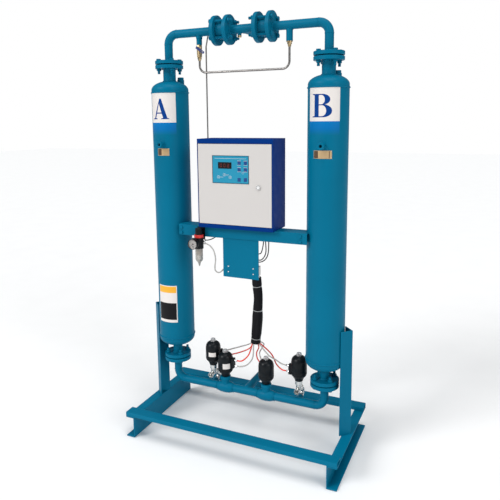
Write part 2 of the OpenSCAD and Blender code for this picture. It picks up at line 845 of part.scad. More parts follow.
module manifold() {
    color(teal) difference() {
        union() {
            difference() {
                union() {
                    translate([0, tower_y, man_z]) along_x(pipe_r, -tower_x + elbow_r, tower_x - elbow_r);
                    for (m = [0, 1]) mirror([m, 0, 0]) {
                        translate([tower_x - elbow_r, tower_y, man_z + elbow_r]) rotate([0, 90, 0])
                            bend_xz(elbow_r, pipe_r);
                        translate([tower_x, tower_y, man_z + elbow_r])
                            cylinder(r = pipe_r, h = low_joint - joint_half - man_z - elbow_r - 2);
                        translate([tower_x, tower_y, low_joint - joint_half - flange_t]) flange();
                    }
                    for (x = valve_x) valve_outer(x);
                    translate([inlet_x, tower_y, man_z]) along_y(pipe_r, 0, inlet_end - tower_y - 5);
                    translate([inlet_x, 0, man_z]) along_y(branch_r, inlet_end - branch_len, inlet_end);
                    for (x = exh_x) translate([x, 0, man_z]) along_y(18, tower_y, exh_back);
                }
                translate([0, tower_y, man_z]) along_x(bore_r, -tower_x + elbow_r, tower_x - elbow_r);
                for (m = [0, 1]) mirror([m, 0, 0]) {
                    translate([tower_x - elbow_r, tower_y, man_z + elbow_r]) rotate([0, 90, 0])
                        bend_xz(elbow_r, bore_r);
                    translate([tower_x, tower_y, man_z + elbow_r]) cylinder(r = bore_r, h = 200);
                }
                for (x = valve_x) translate([x, tower_y, man_z]) cylinder(r = 21, h = act_low - 18 - man_z);
                translate([inlet_x, tower_y, man_z]) along_y(bore_r, 0, inlet_end);
                translate([inlet_x, 0, man_z]) along_y(thread_r, inlet_end - thread_len, inlet_end + 1);
                for (x = exh_x) translate([x, 0, man_z]) along_y(10, tower_y, exh_back + 1);
            }
            for (x = valve_x) translate([x, tower_y, man_z]) mirror([x < 0 ? 0 : 1, 0, 0]) bridge();
        }
        for (x = valve_x) {
            translate([x, tower_y, man_z - 10]) cylinder(r = 14, h = 12);
            translate([x, tower_y, man_z + 40]) cylinder(r = stem_r + run_gap, h = 60);
        }
    }
}

module exhaust_bodies() {
    color(steel) for (x = exh_x) translate([x, 0, 0]) {
        difference() {
            union() {
                translate([0, 0, exh_z]) along_y(13.5, exh_front, exh_back);
                translate([0, 0, exh_z]) along_y(17, exh_front, exh_front + 14);
                translate([0, exh_y, exh_z]) cylinder(r = 17, h = 40);
                translate([0, exh_y, exh_z + 36]) cylinder(r = 22, h = act_high - exh_z - 36);
                translate([0, exh_back, (exh_z + man_z) / 2]) rotate([0, 0, 90]) rotate([90, 0, 0])
                    rotate([0, 0, -90]) rotate_extrude(angle = 180, $fn = 96)
                    translate([(exh_z - man_z) / 2, 0]) circle(r = 13.5);
            }
            difference() {
                union() {
                    translate([0, 0, exh_z]) along_y(10, exh_front - 1, exh_back);
                    translate([0, 0, exh_z]) along_y(exh_thread_r, exh_front - 1, exh_front + exh_thread_len);
                    translate([0, exh_y, exh_z]) cylinder(r = 11, h = 38);
                }
                intersection() {
                    translate([-12, exh_y - 13, exh_z - 4]) cube([24, 26, 4]);
                    translate([0, 0, exh_z]) along_y(11, exh_y - 14, exh_y + 14);
                }
                intersection() {
                    union() {
                        translate([-12, exh_y - 16, exh_z - 1]) cube([24, 4, 12]);
                        translate([-12, exh_y + 12, exh_z - 12]) cube([24, 4, 12]);
                    }
                    translate([0, 0, exh_z]) along_y(11, exh_y - 17, exh_y + 17);
                }
            }
            translate([0, exh_y, exh_z - 6]) cylinder(r = 6, h = 8);
            translate([0, exh_y, exh_z + 30]) cylinder(r = stem_r + run_gap, h = 60);
            translate([0, exh_back, (exh_z + man_z) / 2]) rotate([0, 0, 90]) rotate([90, 0, 0])
                rotate([0, 0, -90]) rotate_extrude(angle = 180, $fn = 96)
                translate([(exh_z - man_z) / 2, 0]) circle(r = 10);
        }
    }
}

// Housing: [x, y, base height, port direction, lower and upper port heights]
acts = [[exh_x[0], exh_y, act_high, 40, port_low_a, port_low_b],
    [valve_x[0], tower_y, act_low, 0, port_high_a, port_high_b],
    [valve_x[1], tower_y, act_low, 130, port_high_a, port_high_b],
    [exh_x[1], exh_y, act_high, 180, port_low_a, port_low_b]];

module actuator(a) {
    translate([a[0], a[1], a[2]]) difference() {
        union() {
            revolve([[0, 0], [24, 0], [29, 16], [act_r - 3, 34], [act_r, 44], [act_r, 112], [act_r - 2, 132],
                [act_r - 8, 144], [26, 152], [20, act_total], [0, act_total]]);
            translate([0, 0, act_total - 4]) cylinder(r = cap_r, h = cap_h + 4);
            rotate(a[3]) block([30, -14, a[4] - 12], [64, 14, a[5] + 12]);
            rotate(a[3]) for (z = [a[4], a[5]]) translate([0, 0, z]) along_x(5.5, 60, port_reach);
        }
        translate([0, 0, 38]) cylinder(r = act_r - 6, h = 100);
        translate([0, 0, -1]) cylinder(r = stem_r + run_gap, h = 60);
        translate([0, 0, 130]) cylinder(r = 3 + run_gap, h = 30);
        translate([0, 0, 144]) cylinder(r = cap_r - 4, h = act_total + cap_h - 146);
    }
}

module actuators() {
    color(black) for (a = acts) actuator(a);
}

module spindle(a, plug_z, plug_r) {
    piston = a[2] + 40;
    color(steel) translate([a[0], a[1], 0]) {
        translate([0, 0, plug_z]) cylinder(r = plug_r, h = 7);
        translate([0, 0, plug_z + 6]) cylinder(r = stem_r, h = piston - plug_z - 5);
        translate([0, 0, piston]) cylinder(r = act_r - 6 - run_gap, h = 12);
        translate([0, 0, piston + 11]) cylinder(r = 3, h = 96);
    }
    color(red) translate([a[0], a[1], a[2] + 146]) cylinder(r = 9, h = 8);
}

module spindle_1() {
    spindle(acts[0], exh_z, 9);
}

module spindle_2() {
    spindle(acts[1], seat_z, 18);
}

module spindle_3() {
    spindle(acts[2], seat_z, 18);
}

module spindle_4() {
    spindle(acts[3], exh_z, 9);
}

// ---------- hoses, tubes and wires ----------
wrap_r = 27;
wrap_guide = [[97, -64, 1012], [100, -62, 960], [104, -58, 893], [96, -50, 810], [89, -42, 735], [72, -28, 604]];
module hose_wrap() {
    color(black) sweep(wrap_guide, wrap_r, 12);
}

// Tip of an actuator's port: actuator i, 0 lower or 1 upper
function port(i, k) = [acts[i][0] + port_reach * cos(acts[i][3]), acts[i][1] + port_reach * sin(acts[i][3]),
    acts[i][2] + acts[i][4 + k]];
function lead(i, k) = port(i, k) + [30 * cos(acts[i][3]), 30 * sin(acts[i][3]), 4];
function root(dx, dy) = [72 + dx, -28 + dy, 605];
red_guides = [
    [root(-16, 8), [2, 46, 526], [-92, 114, 456], lead(0, 0), port(0, 0)],
    [root(-16, -4), [26, -14, 522], [-5, -2, 478], lead(1, 1), port(1, 1)],
    [root(-2, 14), [54, 62, 535], [22, 102, 476], [24, 108, 436], lead(2, 0), port(2, 0)],
    [root(14, 8), [135, 62, 505], [174, 46, 454], lead(3, 0), port(3, 0)]];
clear_guides = [
    [root(-14, 18), [-8, 60, 545], [-94, 116, 492], lead(0, 1), port(0, 1)],
    [root(-6, -16), [52, -26, 505], [12, -10, 445], lead(1, 0), port(1, 0)],
    [root(8, 20), [82, 72, 558], [58, 118, 516], [38, 112, 476], lead(2, 1), port(2, 1)],
    [root(18, -4), [145, -10, 528], [180, 20, 492], lead(3, 1), port(3, 1)]];
tube_r = 4;
module tubes_red() {
    color(red) for (g = red_guides) sweep(g, tube_r, 8);
}

module tubes_clear() {
    color(grey) for (g = clear_guides) sweep(g, tube_r, 8);
}

supply_guide = [[reg_x + fitting_x, reg_y, supply_z], [-166, -131, 1190], [-142, -128, 1158], [-136, -122, 1110],
    [-146, -112, 1066], [-148, -100, 1034], [-128, -86, 1024], [-98, bank_y + 17, 1054]];
module supply_tube() {
    color(grey) sweep(supply_guide, 4, 10);
}

// Cables from the four coils and the black air feed, all up through the box's underside
wire_guides = [
    [[101, -52, 1146], [124, -56, 1160], [139, -60, 1220], [128, -36, 1266], [70, 14, 1286], [64, 20, 1312]],
    [[42, -52, 1137], [74, -40, 1116], [120, -50, 1114], [152, -60, 1158], [150, -56, 1224], [132, -26, 1270],
        [76, 22, 1286], [66, 32, 1312]],
    [[-7, -52, 1137], [30, -38, 1106], [110, -40, 1098], [162, -60, 1142], [170, -58, 1222], [148, -26, 1272],
        [76, 34, 1288], [54, 34, 1312]],
    [[-56, -50, 1160], [-40, -40, 1210], [36, 10, 1278], [52, 20, 1290], [54, 22, 1312]]];
feed_guide = [[reg_x + fitting_x, reg_y, feed_z], [-176, -122, 1222], [-162, -100, 1227], [-150, -60, 1240],
    [-128, 0, 1272], [-112, 24, 1292], [-110, 26, 1312]];
module black_lines() {
    color(black) {
        for (g = wire_guides) sweep(g, 3, 8);
        sweep(feed_guide, 3, 8);
    }
}

beam_left();
beam_right();
rails();
upright_left();
upright_right();
tower_a();
tower_b();
desiccant_beds();
screens();
fill_plugs();
nameplates();
top_pipe_left();
top_pipe_right();
centre_pipe();
check_bodies();
check_disc_left();
check_disc_right();
check_spring_left();
check_spring_right();
gaskets();
flange_bolts();
check_studs();
purge_tube();
purge_fittings();
purge_valve();
purge_handle();
pressure_line();
crossbar();
bar_screws();
valve_plate();
solenoid_bank();
box_shell();
box_door();
box_lock();
panel();
key_1();
key_2();
key_3();
key_4();
key_5();
key_6();
backplate();
electronics();
regulator_body();
regulator_knob();
filter_bowl();
pressure_gauge();
gauge_needle();
manifold();
exhaust_bodies();
actuators();
spindle_1();
spindle_2();
spindle_3();
spindle_4();
hose_wrap();
tubes_red();
tubes_clear();
supply_tube();
black_lines();
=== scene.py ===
import json
from math import cos, exp, radians, sin, sqrt, tan, tau

import bmesh
import bpy
from mathutils import Matrix, Vector, noise
from mathutils.geometry import tessellate_polygon


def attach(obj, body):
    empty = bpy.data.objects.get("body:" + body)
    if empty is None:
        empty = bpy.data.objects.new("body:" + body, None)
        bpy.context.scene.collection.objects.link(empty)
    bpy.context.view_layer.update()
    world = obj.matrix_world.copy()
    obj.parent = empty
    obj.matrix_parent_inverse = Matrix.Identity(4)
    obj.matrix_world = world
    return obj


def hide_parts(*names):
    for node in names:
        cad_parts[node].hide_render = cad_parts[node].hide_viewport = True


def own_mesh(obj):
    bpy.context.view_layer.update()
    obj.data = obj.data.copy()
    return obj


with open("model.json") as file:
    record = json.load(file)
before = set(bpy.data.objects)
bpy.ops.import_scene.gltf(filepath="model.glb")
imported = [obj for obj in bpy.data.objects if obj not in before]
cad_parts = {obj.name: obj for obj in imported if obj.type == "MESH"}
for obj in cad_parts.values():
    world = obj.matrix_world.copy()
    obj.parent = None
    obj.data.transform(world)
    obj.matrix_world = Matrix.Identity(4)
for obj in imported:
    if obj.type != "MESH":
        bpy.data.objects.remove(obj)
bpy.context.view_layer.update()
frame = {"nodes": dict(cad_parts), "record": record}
CAD = frame["nodes"]
SLOT = {row["node"]: row["material_slot"] for row in frame["record"]["subparts"]}
MM = 0.001

# places and sizes that several pieces share, in millimetres
TOWER_X, TOWER_R = 487, 109.5
MID_Y = 5  # plane of the towers and the main pipes
TOP_Z, LOW_Z, PIPE_R = 2401, 264, 24  # axes and radius of the two main pipes
FLANGE_R, FACE_R, BOLT_RING_R = 82, 50, 62.5
STUB_X, PLUG_X, CHECK_X = (-281, 268), -26, 178  # below the top pipe; the check valves' outer flanges
VALVE_X, EXHAUST_X, EXHAUST_Y, EXHAUST_Z = (-147, 125), (-244.5, 323.5), 31, 326
REG_X, REG_Y = -236, -134  # axis of the filter regulator
GAUGE_X, GAUGE_Y, GAUGE_Z = -243, -201, 1205
COIL_X, COIL_PITCH, COILS = -76, 49, 4  # the valves on the bank
TUBE_R, CABLE_R = 4, 3
ACT_R = 47  # actuator
TEAL = (0.0, 0.142, 0.250)


def add_object(name, data):
    ob = bpy.data.objects.new(name, data)
    bpy.context.scene.collection.objects.link(ob)
    return ob


# ---------- camera and light ----------
def make_camera():
    """A camera that stands in front, to the right and a little above."""
    stand, lens, shift = Vector((1.3095, -2.8751, 1.8960)), 39.71, (0.0030, -0.0771)
    yaw, pitch, roll = (radians(a) for a in (24.141, 9.279, -0.524))
    side = Vector((cos(yaw), sin(yaw), 0))
    ahead = Vector((-sin(yaw) * cos(pitch), cos(yaw) * cos(pitch), -sin(pitch)))
    top = side.cross(ahead)
    right = side * cos(roll) + top * sin(roll)
    up = top * cos(roll) - side * sin(roll)
    data = bpy.data.cameras.new("camera")
    data.sensor_width, data.lens = 36, lens
    data.shift_x, data.shift_y = shift
    data.clip_start, data.clip_end = 0.05, 100
    cam = add_object("camera", data)
    world = Matrix((right, up, -ahead)).transposed().to_4x4()
    world.translation = stand
    cam.matrix_world = world
    bpy.context.scene.camera = cam


def sun(name, direction, strength, angle):
    """A sun that shines along a direction, its disc this many degrees wide."""
    data = bpy.data.lights.new(name, "SUN")
    data.energy, data.angle = strength, radians(angle)
    lamp = add_object(name, data)
    lamp.rotation_mode = "QUATERNION"
    lamp.rotation_quaternion = Vector(direction).to_track_quat("-Z", "Y")


def make_studio():
    """White all round for the camera, a grey dome for the rest, and three soft suns."""
    scene = bpy.context.scene
    scene.view_settings.view_transform = "Standard"
    world = bpy.data.worlds.new("studio")
    scene.world = world
    world.use_nodes = True
    tree = world.node_tree
    seen, rest = tree.nodes["Background"], tree.nodes.new("ShaderNodeBackground")
    for shade, colour, strength in ((seen, (1, 1, 1, 1), 1.0), (rest, (0.93, 0.97, 1, 1), 0.24)):
        shade.inputs["Color"].default_value, shade.inputs["Strength"].default_value = colour, strength
    rays, mix = tree.nodes.new("ShaderNodeLightPath"), tree.nodes.new("ShaderNodeMixShader")
    tree.links.new(rays.outputs["Is Camera Ray"], mix.inputs[0])
    tree.links.new(rest.outputs[0], mix.inputs[1])
    tree.links.new(seen.outputs[0], mix.inputs[2])
    tree.links.new(mix.outputs[0], tree.nodes["World Output"].inputs[0])
    sun("key", (0.55, 0.72, -0.55), 1.75, 24)
    sun("right", (-0.8, 0.45, -0.4), 0.9, 30)
    sun("overhead", (-0.1, 0.15, -1), 1.55, 40)


make_camera()
make_studio()


# ---------- materials ----------
class Mat:
    """A Principled material with procedural nodes in object space."""

    def __init__(self, name, **sockets):
        self.m = bpy.data.materials.new(name)
        self.m.use_nodes = True
        self.tree = self.m.node_tree
        self.b = self.tree.nodes["Principled BSDF"]
        self.coord = self.tree.nodes.new("ShaderNodeTexCoord").outputs["Object"]
        for k, v in sockets.items():
            self.b.inputs[k.replace("_", " ")].default_value = v

    def node(self, kind, links=None, **props):
        n = self.tree.nodes.new("ShaderNode" + kind)
        for k, v in props.items():
            n.inputs[k].default_value = v
        for k, v in (links or {}).items():
            self.tree.links.new(v, n.inputs[k])
        return n

    def put(self, socket, output):
        self.tree.links.new(output, self.b.inputs[socket])

    def noise(self, scale, detail=3, stretch=None):
        where = self.coord
        if stretch:
            where = self.node("Mapping", {"Vector": where}, Scale=stretch).outputs[0]
        return self.node("TexNoise", {"Vector": where}, Scale=scale, Detail=detail).outputs["Fac"]

    def ramp(self, value, stops):
        r = self.node("ValToRGB", {"Fac": value})
        e = r.color_ramp.elements
        while len(e) < len(stops):
            e.new(0.5)
        for el, (at, colour) in zip(e, stops):
            el.position, el.color = at, (*colour, 1)
        return r.outputs["Color"]

    def span(self, value, lo, hi, start=0.3, stop=0.7):
        """A value spread from one range, such as a noise's usual one, over another."""
        n = self.node("MapRange", {"Value": value})
        n.inputs["From Min"].default_value, n.inputs["From Max"].default_value = start, stop
        n.inputs["To Min"].default_value, n.inputs["To Max"].default_value = lo, hi
        return n.outputs[0]

    def bump(self, height, strength, distance):
        bumps = self.node("Bump", {"Height": height}, Strength=strength, Distance=distance)
        self.put("Normal", bumps.outputs[0])


def tint(c, k):
    return tuple(min(1, v * k) for v in c)


def surface(name, colour, rough, vary, scale=3.0, grain=700, relief=0.00004, stretch=None, spec=0.5,
            metal=0.0):
    """Colour and roughness that wander a little, with a fine grain."""
    m = Mat(name, Specular_IOR_Level=spec, Metallic=metal)
    slow = m.noise(scale, 4)
    m.put("Base Color", m.ramp(slow, [(0.3, tint(colour, 1 - vary)), (0.7, tint(colour, 1 + vary))]))
    fine = m.noise(grain, 2, stretch)
    m.put("Roughness", m.span(m.noise(scale * 9, 3, stretch), rough * 0.88, rough * 1.14))
    m.bump(fine, 0.35, relief)
    return m.m


teal = surface("teal_paint", TEAL, 0.42, 0.05, grain=260, relief=0.0001, spec=0.07)
blue = surface("blue_paint", (0.0, 0.030, 0.185), 0.5, 0.05, grain=900, relief=0.00006, spec=0.04)
cream = surface("cream_paint", (0.592, 0.566, 0.548), 0.42, 0.012, grain=1100, relief=0.00006, spec=0.3)
steel = surface("stainless", (0.26, 0.245, 0.235), 0.34, 0.05, grain=900, stretch=(1, 1, 0.05), metal=1.0)
bright_steel = surface("bright_steel", (0.72, 0.72, 0.70), 0.22, 0.05, grain=900, metal=1.0)
zinc = surface("zinc_sheet", (0.55, 0.55, 0.53), 0.38, 0.12, 30, metal=1.0)
chrome = surface("chrome_metal", (0.82, 0.82, 0.82), 0.12, 0.02, metal=1.0)
brass = surface("brass_metal", (0.66, 0.50, 0.28), 0.3, 0.1, 20, metal=1.0)
gold = surface("plate_gold", (0.66, 0.46, 0.25), 0.33, 0.10, 14, metal=0.85)
# chrome for the lock, its colour darkened to paint the dark reflections that the white surroundings don't
# give
chrome_painted_dark_reflection = surface("chrome_painted_dark_reflection", (0.22, 0.22, 0.23), 0.22, 0.04, metal=1.0)
brown = surface("plate_brown", (0.10, 0.055, 0.03), 0.42, 0.08, 30, metal=0.3)
black = surface("black_plastic", (0.005, 0.007, 0.009), 0.36, 0.15, 8, grain=1500, relief=0.00005, spec=0.18)
grey = surface("grey_plastic", (0.32, 0.33, 0.33), 0.45, 0.06)
rubber = surface("black_rubber", (0.006, 0.006, 0.007), 0.5, 0.2, 10, grain=900, relief=0.0001, spec=0.15)
sleeve_skin = surface("sleeve_fabric", (0.004, 0.004, 0.006), 0.6, 0.25, 14, grain=1600, relief=0.0003,
                      spec=0.14)
lever_blue = surface("blue_sleeve", (0.01, 0.03, 0.17), 0.4, 0.08, 20)
beads = surface("desiccant", (0.82, 0.8, 0.75), 0.8, 0.1, 400, grain=300, relief=0.002)
red_tube = surface("red_tube", (0.86, 0.055, 0.03), 0.28, 0.06, 10)
grey_tube = surface("clear_tube", (0.46, 0.44, 0.42), 0.25, 0.06, 10)
panel_blue = surface("panel_film", (0.0, 0.245, 0.40), 0.32, 0.03)
white = surface("white_film", (0.76, 0.715, 0.685), 0.4, 0.015)
navy = surface("navy_ink", (0.0, 0.042, 0.225), 0.42, 0.04, spec=0.12)
ink = surface("dark_ink", (0.008, 0.008, 0.010), 0.5, 0.1, spec=0.12)
yellow = surface("yellow_ink", (0.86, 0.42, 0.02), 0.4, 0.05)
screen = surface("display_window", (0.006, 0.004, 0.005), 0.15, 0.1, spec=0.2)
digit_red = surface("digit_red", (0.16, 0.012, 0.010), 0.35, 0.05)
dull_red = surface("indicator_red", (0.30, 0.03, 0.025), 0.4, 0.08)
knob_red = surface("ring_red", (0.62, 0.02, 0.015), 0.32, 0.05)
key_blue = surface("key_blue", (0.0, 0.045, 0.20), 0.35, 0.05)


def fading_band():
    """Blue at the sticker's lower end, running out into the tower's teal."""
    foot, head = 1.822, 1.892
    m = Mat("blue_band", Roughness=0.42, Specular_IOR_Level=0.1)
    z = m.node("SeparateXYZ", {"Vector": m.coord}).outputs["Z"]
    m.put("Base Color", m.ramp(m.span(z, 0, 1, foot, head), [(0.0, TEAL), (0.45, (0.0, 0.145, 0.40)),
                                                            (1.0, (0.0, 0.165, 0.46))]))
    m.bump(m.noise(260), 0.3, 0.00008)
    return m.m


def clear(name, colour, rough, share):
    """Glass or clear plastic that lets this share of the light through."""
    m = Mat(name, IOR=1.45, Roughness=rough, Transmission_Weight=share)
    m.put("Base Color", m.ramp(m.noise(30), [(0.3, colour), (0.7, tint(colour, 0.97))]))
    return m.m


band = fading_band()
glass = clear("gauge_glass", (1, 1, 1), 0.02, 1.0)
clear_cap = clear("clear_cap", (0.86, 0.87, 0.88), 0.10, 0.75)
bowl_clear = clear("clear_bowl", (0.62, 0.60, 0.56), 0.16, 0.55)
amber = surface("filter_element", (0.40, 0.22, 0.09), 0.6, 0.15, 40)

FINISH = {
    "teal_paint": teal, "blue_paint": blue, "cream_paint": cream, "stainless": steel, "zinc_sheet": zinc,
    "chrome_metal": chrome, "brass_metal": brass, "black_plastic": black, "grey_plastic": grey,
    "clear_plastic": bowl_clear, "panel_film": panel_blue, "desiccant": beads, "black_rubber": rubber,
    "red_tube": red_tube, "clear_tube": grey_tube,
}


def finish_cad_nodes():
    """Gives the CAD nodes that stay in view the looks of their slots."""
    for node, slot in SLOT.items():
        mesh = CAD[node].data
        mesh.materials.clear()
        mesh.materials.append(bright_steel if node == "exhaust_bodies" else FINISH[slot])


finish_cad_nodes()


# ---------- mesh building, in millimetres ----------
def place(x=0, y=0, z=0, turn=(0, 0, 0)):
    """Moves to a point after turning about X, Y and Z in degrees."""
    m = Matrix.Translation((x, y, z))
    for axis, a in zip("ZYX", reversed(turn)):
        m = m @ Matrix.Rotation(radians(a), 4, axis)
    return m


def along(point, direction, roll=0):
    """A frame at a point with its +Z along a direction."""
    q = Vector(direction).to_track_quat("Z", "Y").to_matrix().to_4x4()
    return Matrix.Translation(point) @ q @ Matrix.Rotation(radians(roll), 4, "Z")


def round_points(r, n, share=0.0):
    """Points (x, y) evenly round a circle, the first one this share of a step on."""
    turns = [tau * (k + share) / n for k in range(n)]
    return [(r * cos(a), r * sin(a)) for a in turns]


def circle(r, h, n):
    return [(x, y, h) for x, y in round_points(r, n)]


def upright_ring(r, x, y, z):
    """Points round a circle that faces the front."""
    return [(x + u, y, z + v) for u, v in round_points(r, 32)]


def arc(cx, cz, rx, rz, a0, a1, n=14):
    """Points on an elliptical arc from one angle in degrees to another."""
    turns = [radians(a0 + (a1 - a0) * k / n) for k in range(n + 1)]
    return [(cx + rx * cos(a), cz + rz * sin(a)) for a in turns]


class Build:
    """Gathers faces into one piece."""

    def __init__(self):
        self.v, self.f, self.mat = [], [], []

    def face(self, idx, mat):
        self.f.append(tuple(idx))
        self.mat.append(mat)

    def skin(self, rings, m=None, mat=0, caps=True, loop=False):
        """Joins rings of equal length; a ring of one point is a tip."""
        at = []
        for ring in rings:
            at.append(len(self.v))
            self.v += [m @ Vector(p) if m else Vector(p) for p in ring]
        n = max(len(r) for r in rings)
        for i in range(len(rings) - (not loop)):
            j = (i + 1) % len(rings)
            a, b = at[i], at[j]
            for k in range(n):
                k2 = (k + 1) % n
                if len(rings[i]) == 1:
                    self.face((a, b + k2, b + k), mat)
                elif len(rings[j]) == 1:
                    self.face((a + k, a + k2, b), mat)
                else:
                    self.face((a + k, a + k2, b + k2, b + k), mat)
        if caps and not loop:
            for i in (0, len(rings) - 1):
                if len(rings[i]) > 1:
                    self.face(range(at[i], at[i] + n), mat)

    def lathe(self, profile, m=None, n=48, mat=0, caps=True):
        """Turns (radius, height) points round Z."""
        self.skin([circle(r, h, n) if r > 0 else [(0, 0, h)] for r, h in profile], m, mat, caps)

    def rod(self, r, z0, z1, m=None, n=48, mat=0):
        self.lathe([(0, z0), (r, z0), (r, z1), (0, z1)], m, n, mat)

    def box(self, lo, hi, m=None, mat=0):
        (x0, y0, z0), (x1, y1, z1) = lo, hi
        self.skin([[(x0, y0, z), (x1, y0, z), (x1, y1, z), (x0, y1, z)] for z in (z0, z1)], m, mat)

    def prism(self, outline, z0, z1, m=None, mat=0):
        self.skin([[(x, y, z) for x, y in outline] for z in (z0, z1)], m, mat)

    def tube(self, points, r, n=12, m=None, mat=0, loop=False):
        """A round tube along points; r is a number or a function of the share of the way and the angle."""
        pts = [Vector(p) for p in points]
        last = len(pts) - 1
        rings, side = [], None
        for i, p in enumerate(pts):
            before, after = (i - 1, (i + 1) % len(pts)) if loop else (max(i - 1, 0), min(i + 1, last))
            d = (pts[after] - pts[before]).normalized()
            side = side or d.orthogonal().normalized()
            side = (side - side.dot(d) * d).normalized()
            other = d.cross(side)
            ring = []
            for k in range(n):
                a = tau * k / n
                q = r(i / last, a) if callable(r) else r
                ring.append(p + side * (q * cos(a)) + other * (q * sin(a)))
            rings.append(ring)
        self.skin(rings, m, mat, not loop, loop)

    def hexagon(self, flats, h, m=None):
        """A nut or bolt head by its width across the flats, with both ends chamfered round."""
        def ring(z, limit):
            out = []
            for k in range(48):
                degrees = 7.5 * k
                a, q = radians(degrees), flats / 2 / cos(radians((degrees + 30) % 60 - 30))
                out.append((min(q, limit) * cos(a), min(q, limit) * sin(a), z))
            return out
        edge, end_r = flats * 0.045, flats * 0.49
        self.skin([ring(0, end_r), ring(edge, flats), ring(h - edge, flats), ring(h, end_r)], m)

    def thread(self, r, length, m=None):
        """A stud's end with ridges 2 mm apart."""
        pitch = 2
        pts = [(0, 0), (r - 1.2, 0)]
        for k in range(int(length / pitch)):
            pts += [(r, (k + 0.5) * pitch), (r - 0.7, (k + 1) * pitch)]
        self.lathe(pts + [(r - 1.2, length), (0, length)], m, 20)

    def done(self, name, mats, slot="teal_paint", body="frame", replaces=None, **finish):
        """Makes the faces an object with one material or a list of them."""
        mesh = bpy.data.meshes.new(name)
        mesh.from_pydata([v * MM for v in self.v], [], self.f)
        for mat in mats if isinstance(mats, list) else [mats]:
            mesh.materials.append(mat)
        mesh.polygons.foreach_set("material_index", self.mat)
        bm = bmesh.new()
        bm.from_mesh(mesh)
        bmesh.ops.recalc_face_normals(bm, faces=bm.faces)
        bm.to_mesh(mesh)
        bm.free()
        return add_piece(name, mesh, slot, body, replaces, **finish)


def add_piece(name, mesh, slot, body, replaces, sharp=38, bevel=0, segments=2):
    """Edges sharper than the angle stay sharp, and bevel is their rounding's width."""
    mesh.shade_smooth()
    mesh.set_sharp_from_angle(angle=radians(sharp))
    ob = add_object(name, mesh)
    if bevel:
        mod = ob.modifiers.new("edges", "BEVEL")
        mod.width, mod.segments, mod.limit_method = bevel * MM, segments, "ANGLE"
        mod.angle_limit = radians(40)
    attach(ob, body)
    if replaces:
        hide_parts(replaces)
    return ob


def softened(node, width, mat, body="frame", segments=2, split=False):
    """A CAD node's mesh with its edges rounded over; split cuts faces with inward corners apart."""
    mesh = CAD[node].data.copy()
    bm = bmesh.new()
    bm.from_mesh(mesh)
    bmesh.ops.remove_doubles(bm, verts=bm.verts, dist=1e-6)
    bmesh.ops.dissolve_limit(bm, angle_limit=radians(1), verts=bm.verts, edges=bm.edges)
    if split:
        bmesh.ops.connect_verts_concave(bm, faces=bm.faces)
    bm.to_mesh(mesh)
    bm.free()
    mesh.materials.clear()
    mesh.materials.append(mat)
    add_piece(node + "_shape", mesh, SLOT[node], body, node, bevel=width, segments=segments)


def smooth_line(points, per=6):
    """Points on a smooth curve through the guide points."""
    p = [Vector(q) for q in points]
    p = [p[0] * 2 - p[1]] + p + [p[-1] * 2 - p[-2]]
    out = []
    for i in range(1, len(p) - 2):
        a, b, c, d = p[i - 1:i + 3]
        for k in range(per):
            t = k / per
            out.append(0.5 * (2 * b + (c - a) * t + (2 * a - 5 * b + 4 * c - d) * t * t
                              + (3 * b - a - 3 * c + d) * t ** 3))
    return out + [p[-2]]


# ---------- tubes, sleeve and cables ----------
PORT_REACH, SLEEVE_END = 80, (72, -28, 605)
# each actuator's foot, the way its ports face in degrees, and the heights of its ports above the foot
ACTUATORS = [(EXHAUST_X[0], EXHAUST_Y, 384, 40, 44, 80), (VALVE_X[0], MID_Y, 337, 0, 74, 110),
             (VALVE_X[1], MID_Y, 337, 130, 74, 110), (EXHAUST_X[1], EXHAUST_Y, 384, 180, 44, 80)]


def port(i, k, extra=0, rise=0):
    """The mouth of an actuator's lower or upper port, or a point further out and higher."""
    x, y, z, turn, *heights = ACTUATORS[i]
    a, reach = radians(turn), PORT_REACH + extra
    return (x + reach * cos(a), y + reach * sin(a), z + heights[k] + rise)


def guide_to(i, k, root, *between):
    """A tube's guide points from its place in the sleeve's end to a port, which it enters straight."""
    start = (SLEEVE_END[0] + root[0], SLEEVE_END[1] + root[1], SLEEVE_END[2])
    return [start, *between, port(i, k, 30, 4), port(i, k)]


def flexible(name, guide, r, mat, slot, node):
    """One tube or cable along a smooth line through its guide points, in place of a CAD node."""
    line = smooth_line(guide)
    b = Build()
    b.tube(line, r, 16)
    ob = b.done(name, mat, slot, replaces=node)


RED = [
    guide_to(0, 0, (-16, 8), (2, 46, 526), (-92, 114, 456)),
    guide_to(1, 1, (-16, -4), (26, -14, 522), (-5, -2, 478)),
    guide_to(2, 0, (-2, 14), (54, 62, 535), (22, 102, 476), (24, 108, 436)),
    guide_to(3, 0, (14, 8), (135, 62, 505), (174, 46, 454))]
CLEAR = [
    guide_to(0, 1, (-14, 18), (-8, 60, 545), (-94, 116, 492)),
    guide_to(1, 0, (-6, -16), (52, -26, 505), (12, -10, 445)),
    guide_to(2, 1, (8, 20), (82, 72, 558), (58, 118, 516), (38, 112, 476)),
    guide_to(3, 1, (18, -4), (145, -10, 528), (180, 20, 492))]
SLEEVE = [(97, -64, 1012), (100, -62, 960), (104, -58, 893), (96, -50, 810), (89, -42, 735), (72, -28, 604)]
SUPPLY = [(-194, -134, 1203), (-166, -131, 1190), (-142, -128, 1158), (-136, -122, 1110), (-146, -112, 1066),
          (-148, -100, 1034), (-128, -86, 1024), (-98, -75, 1054)]
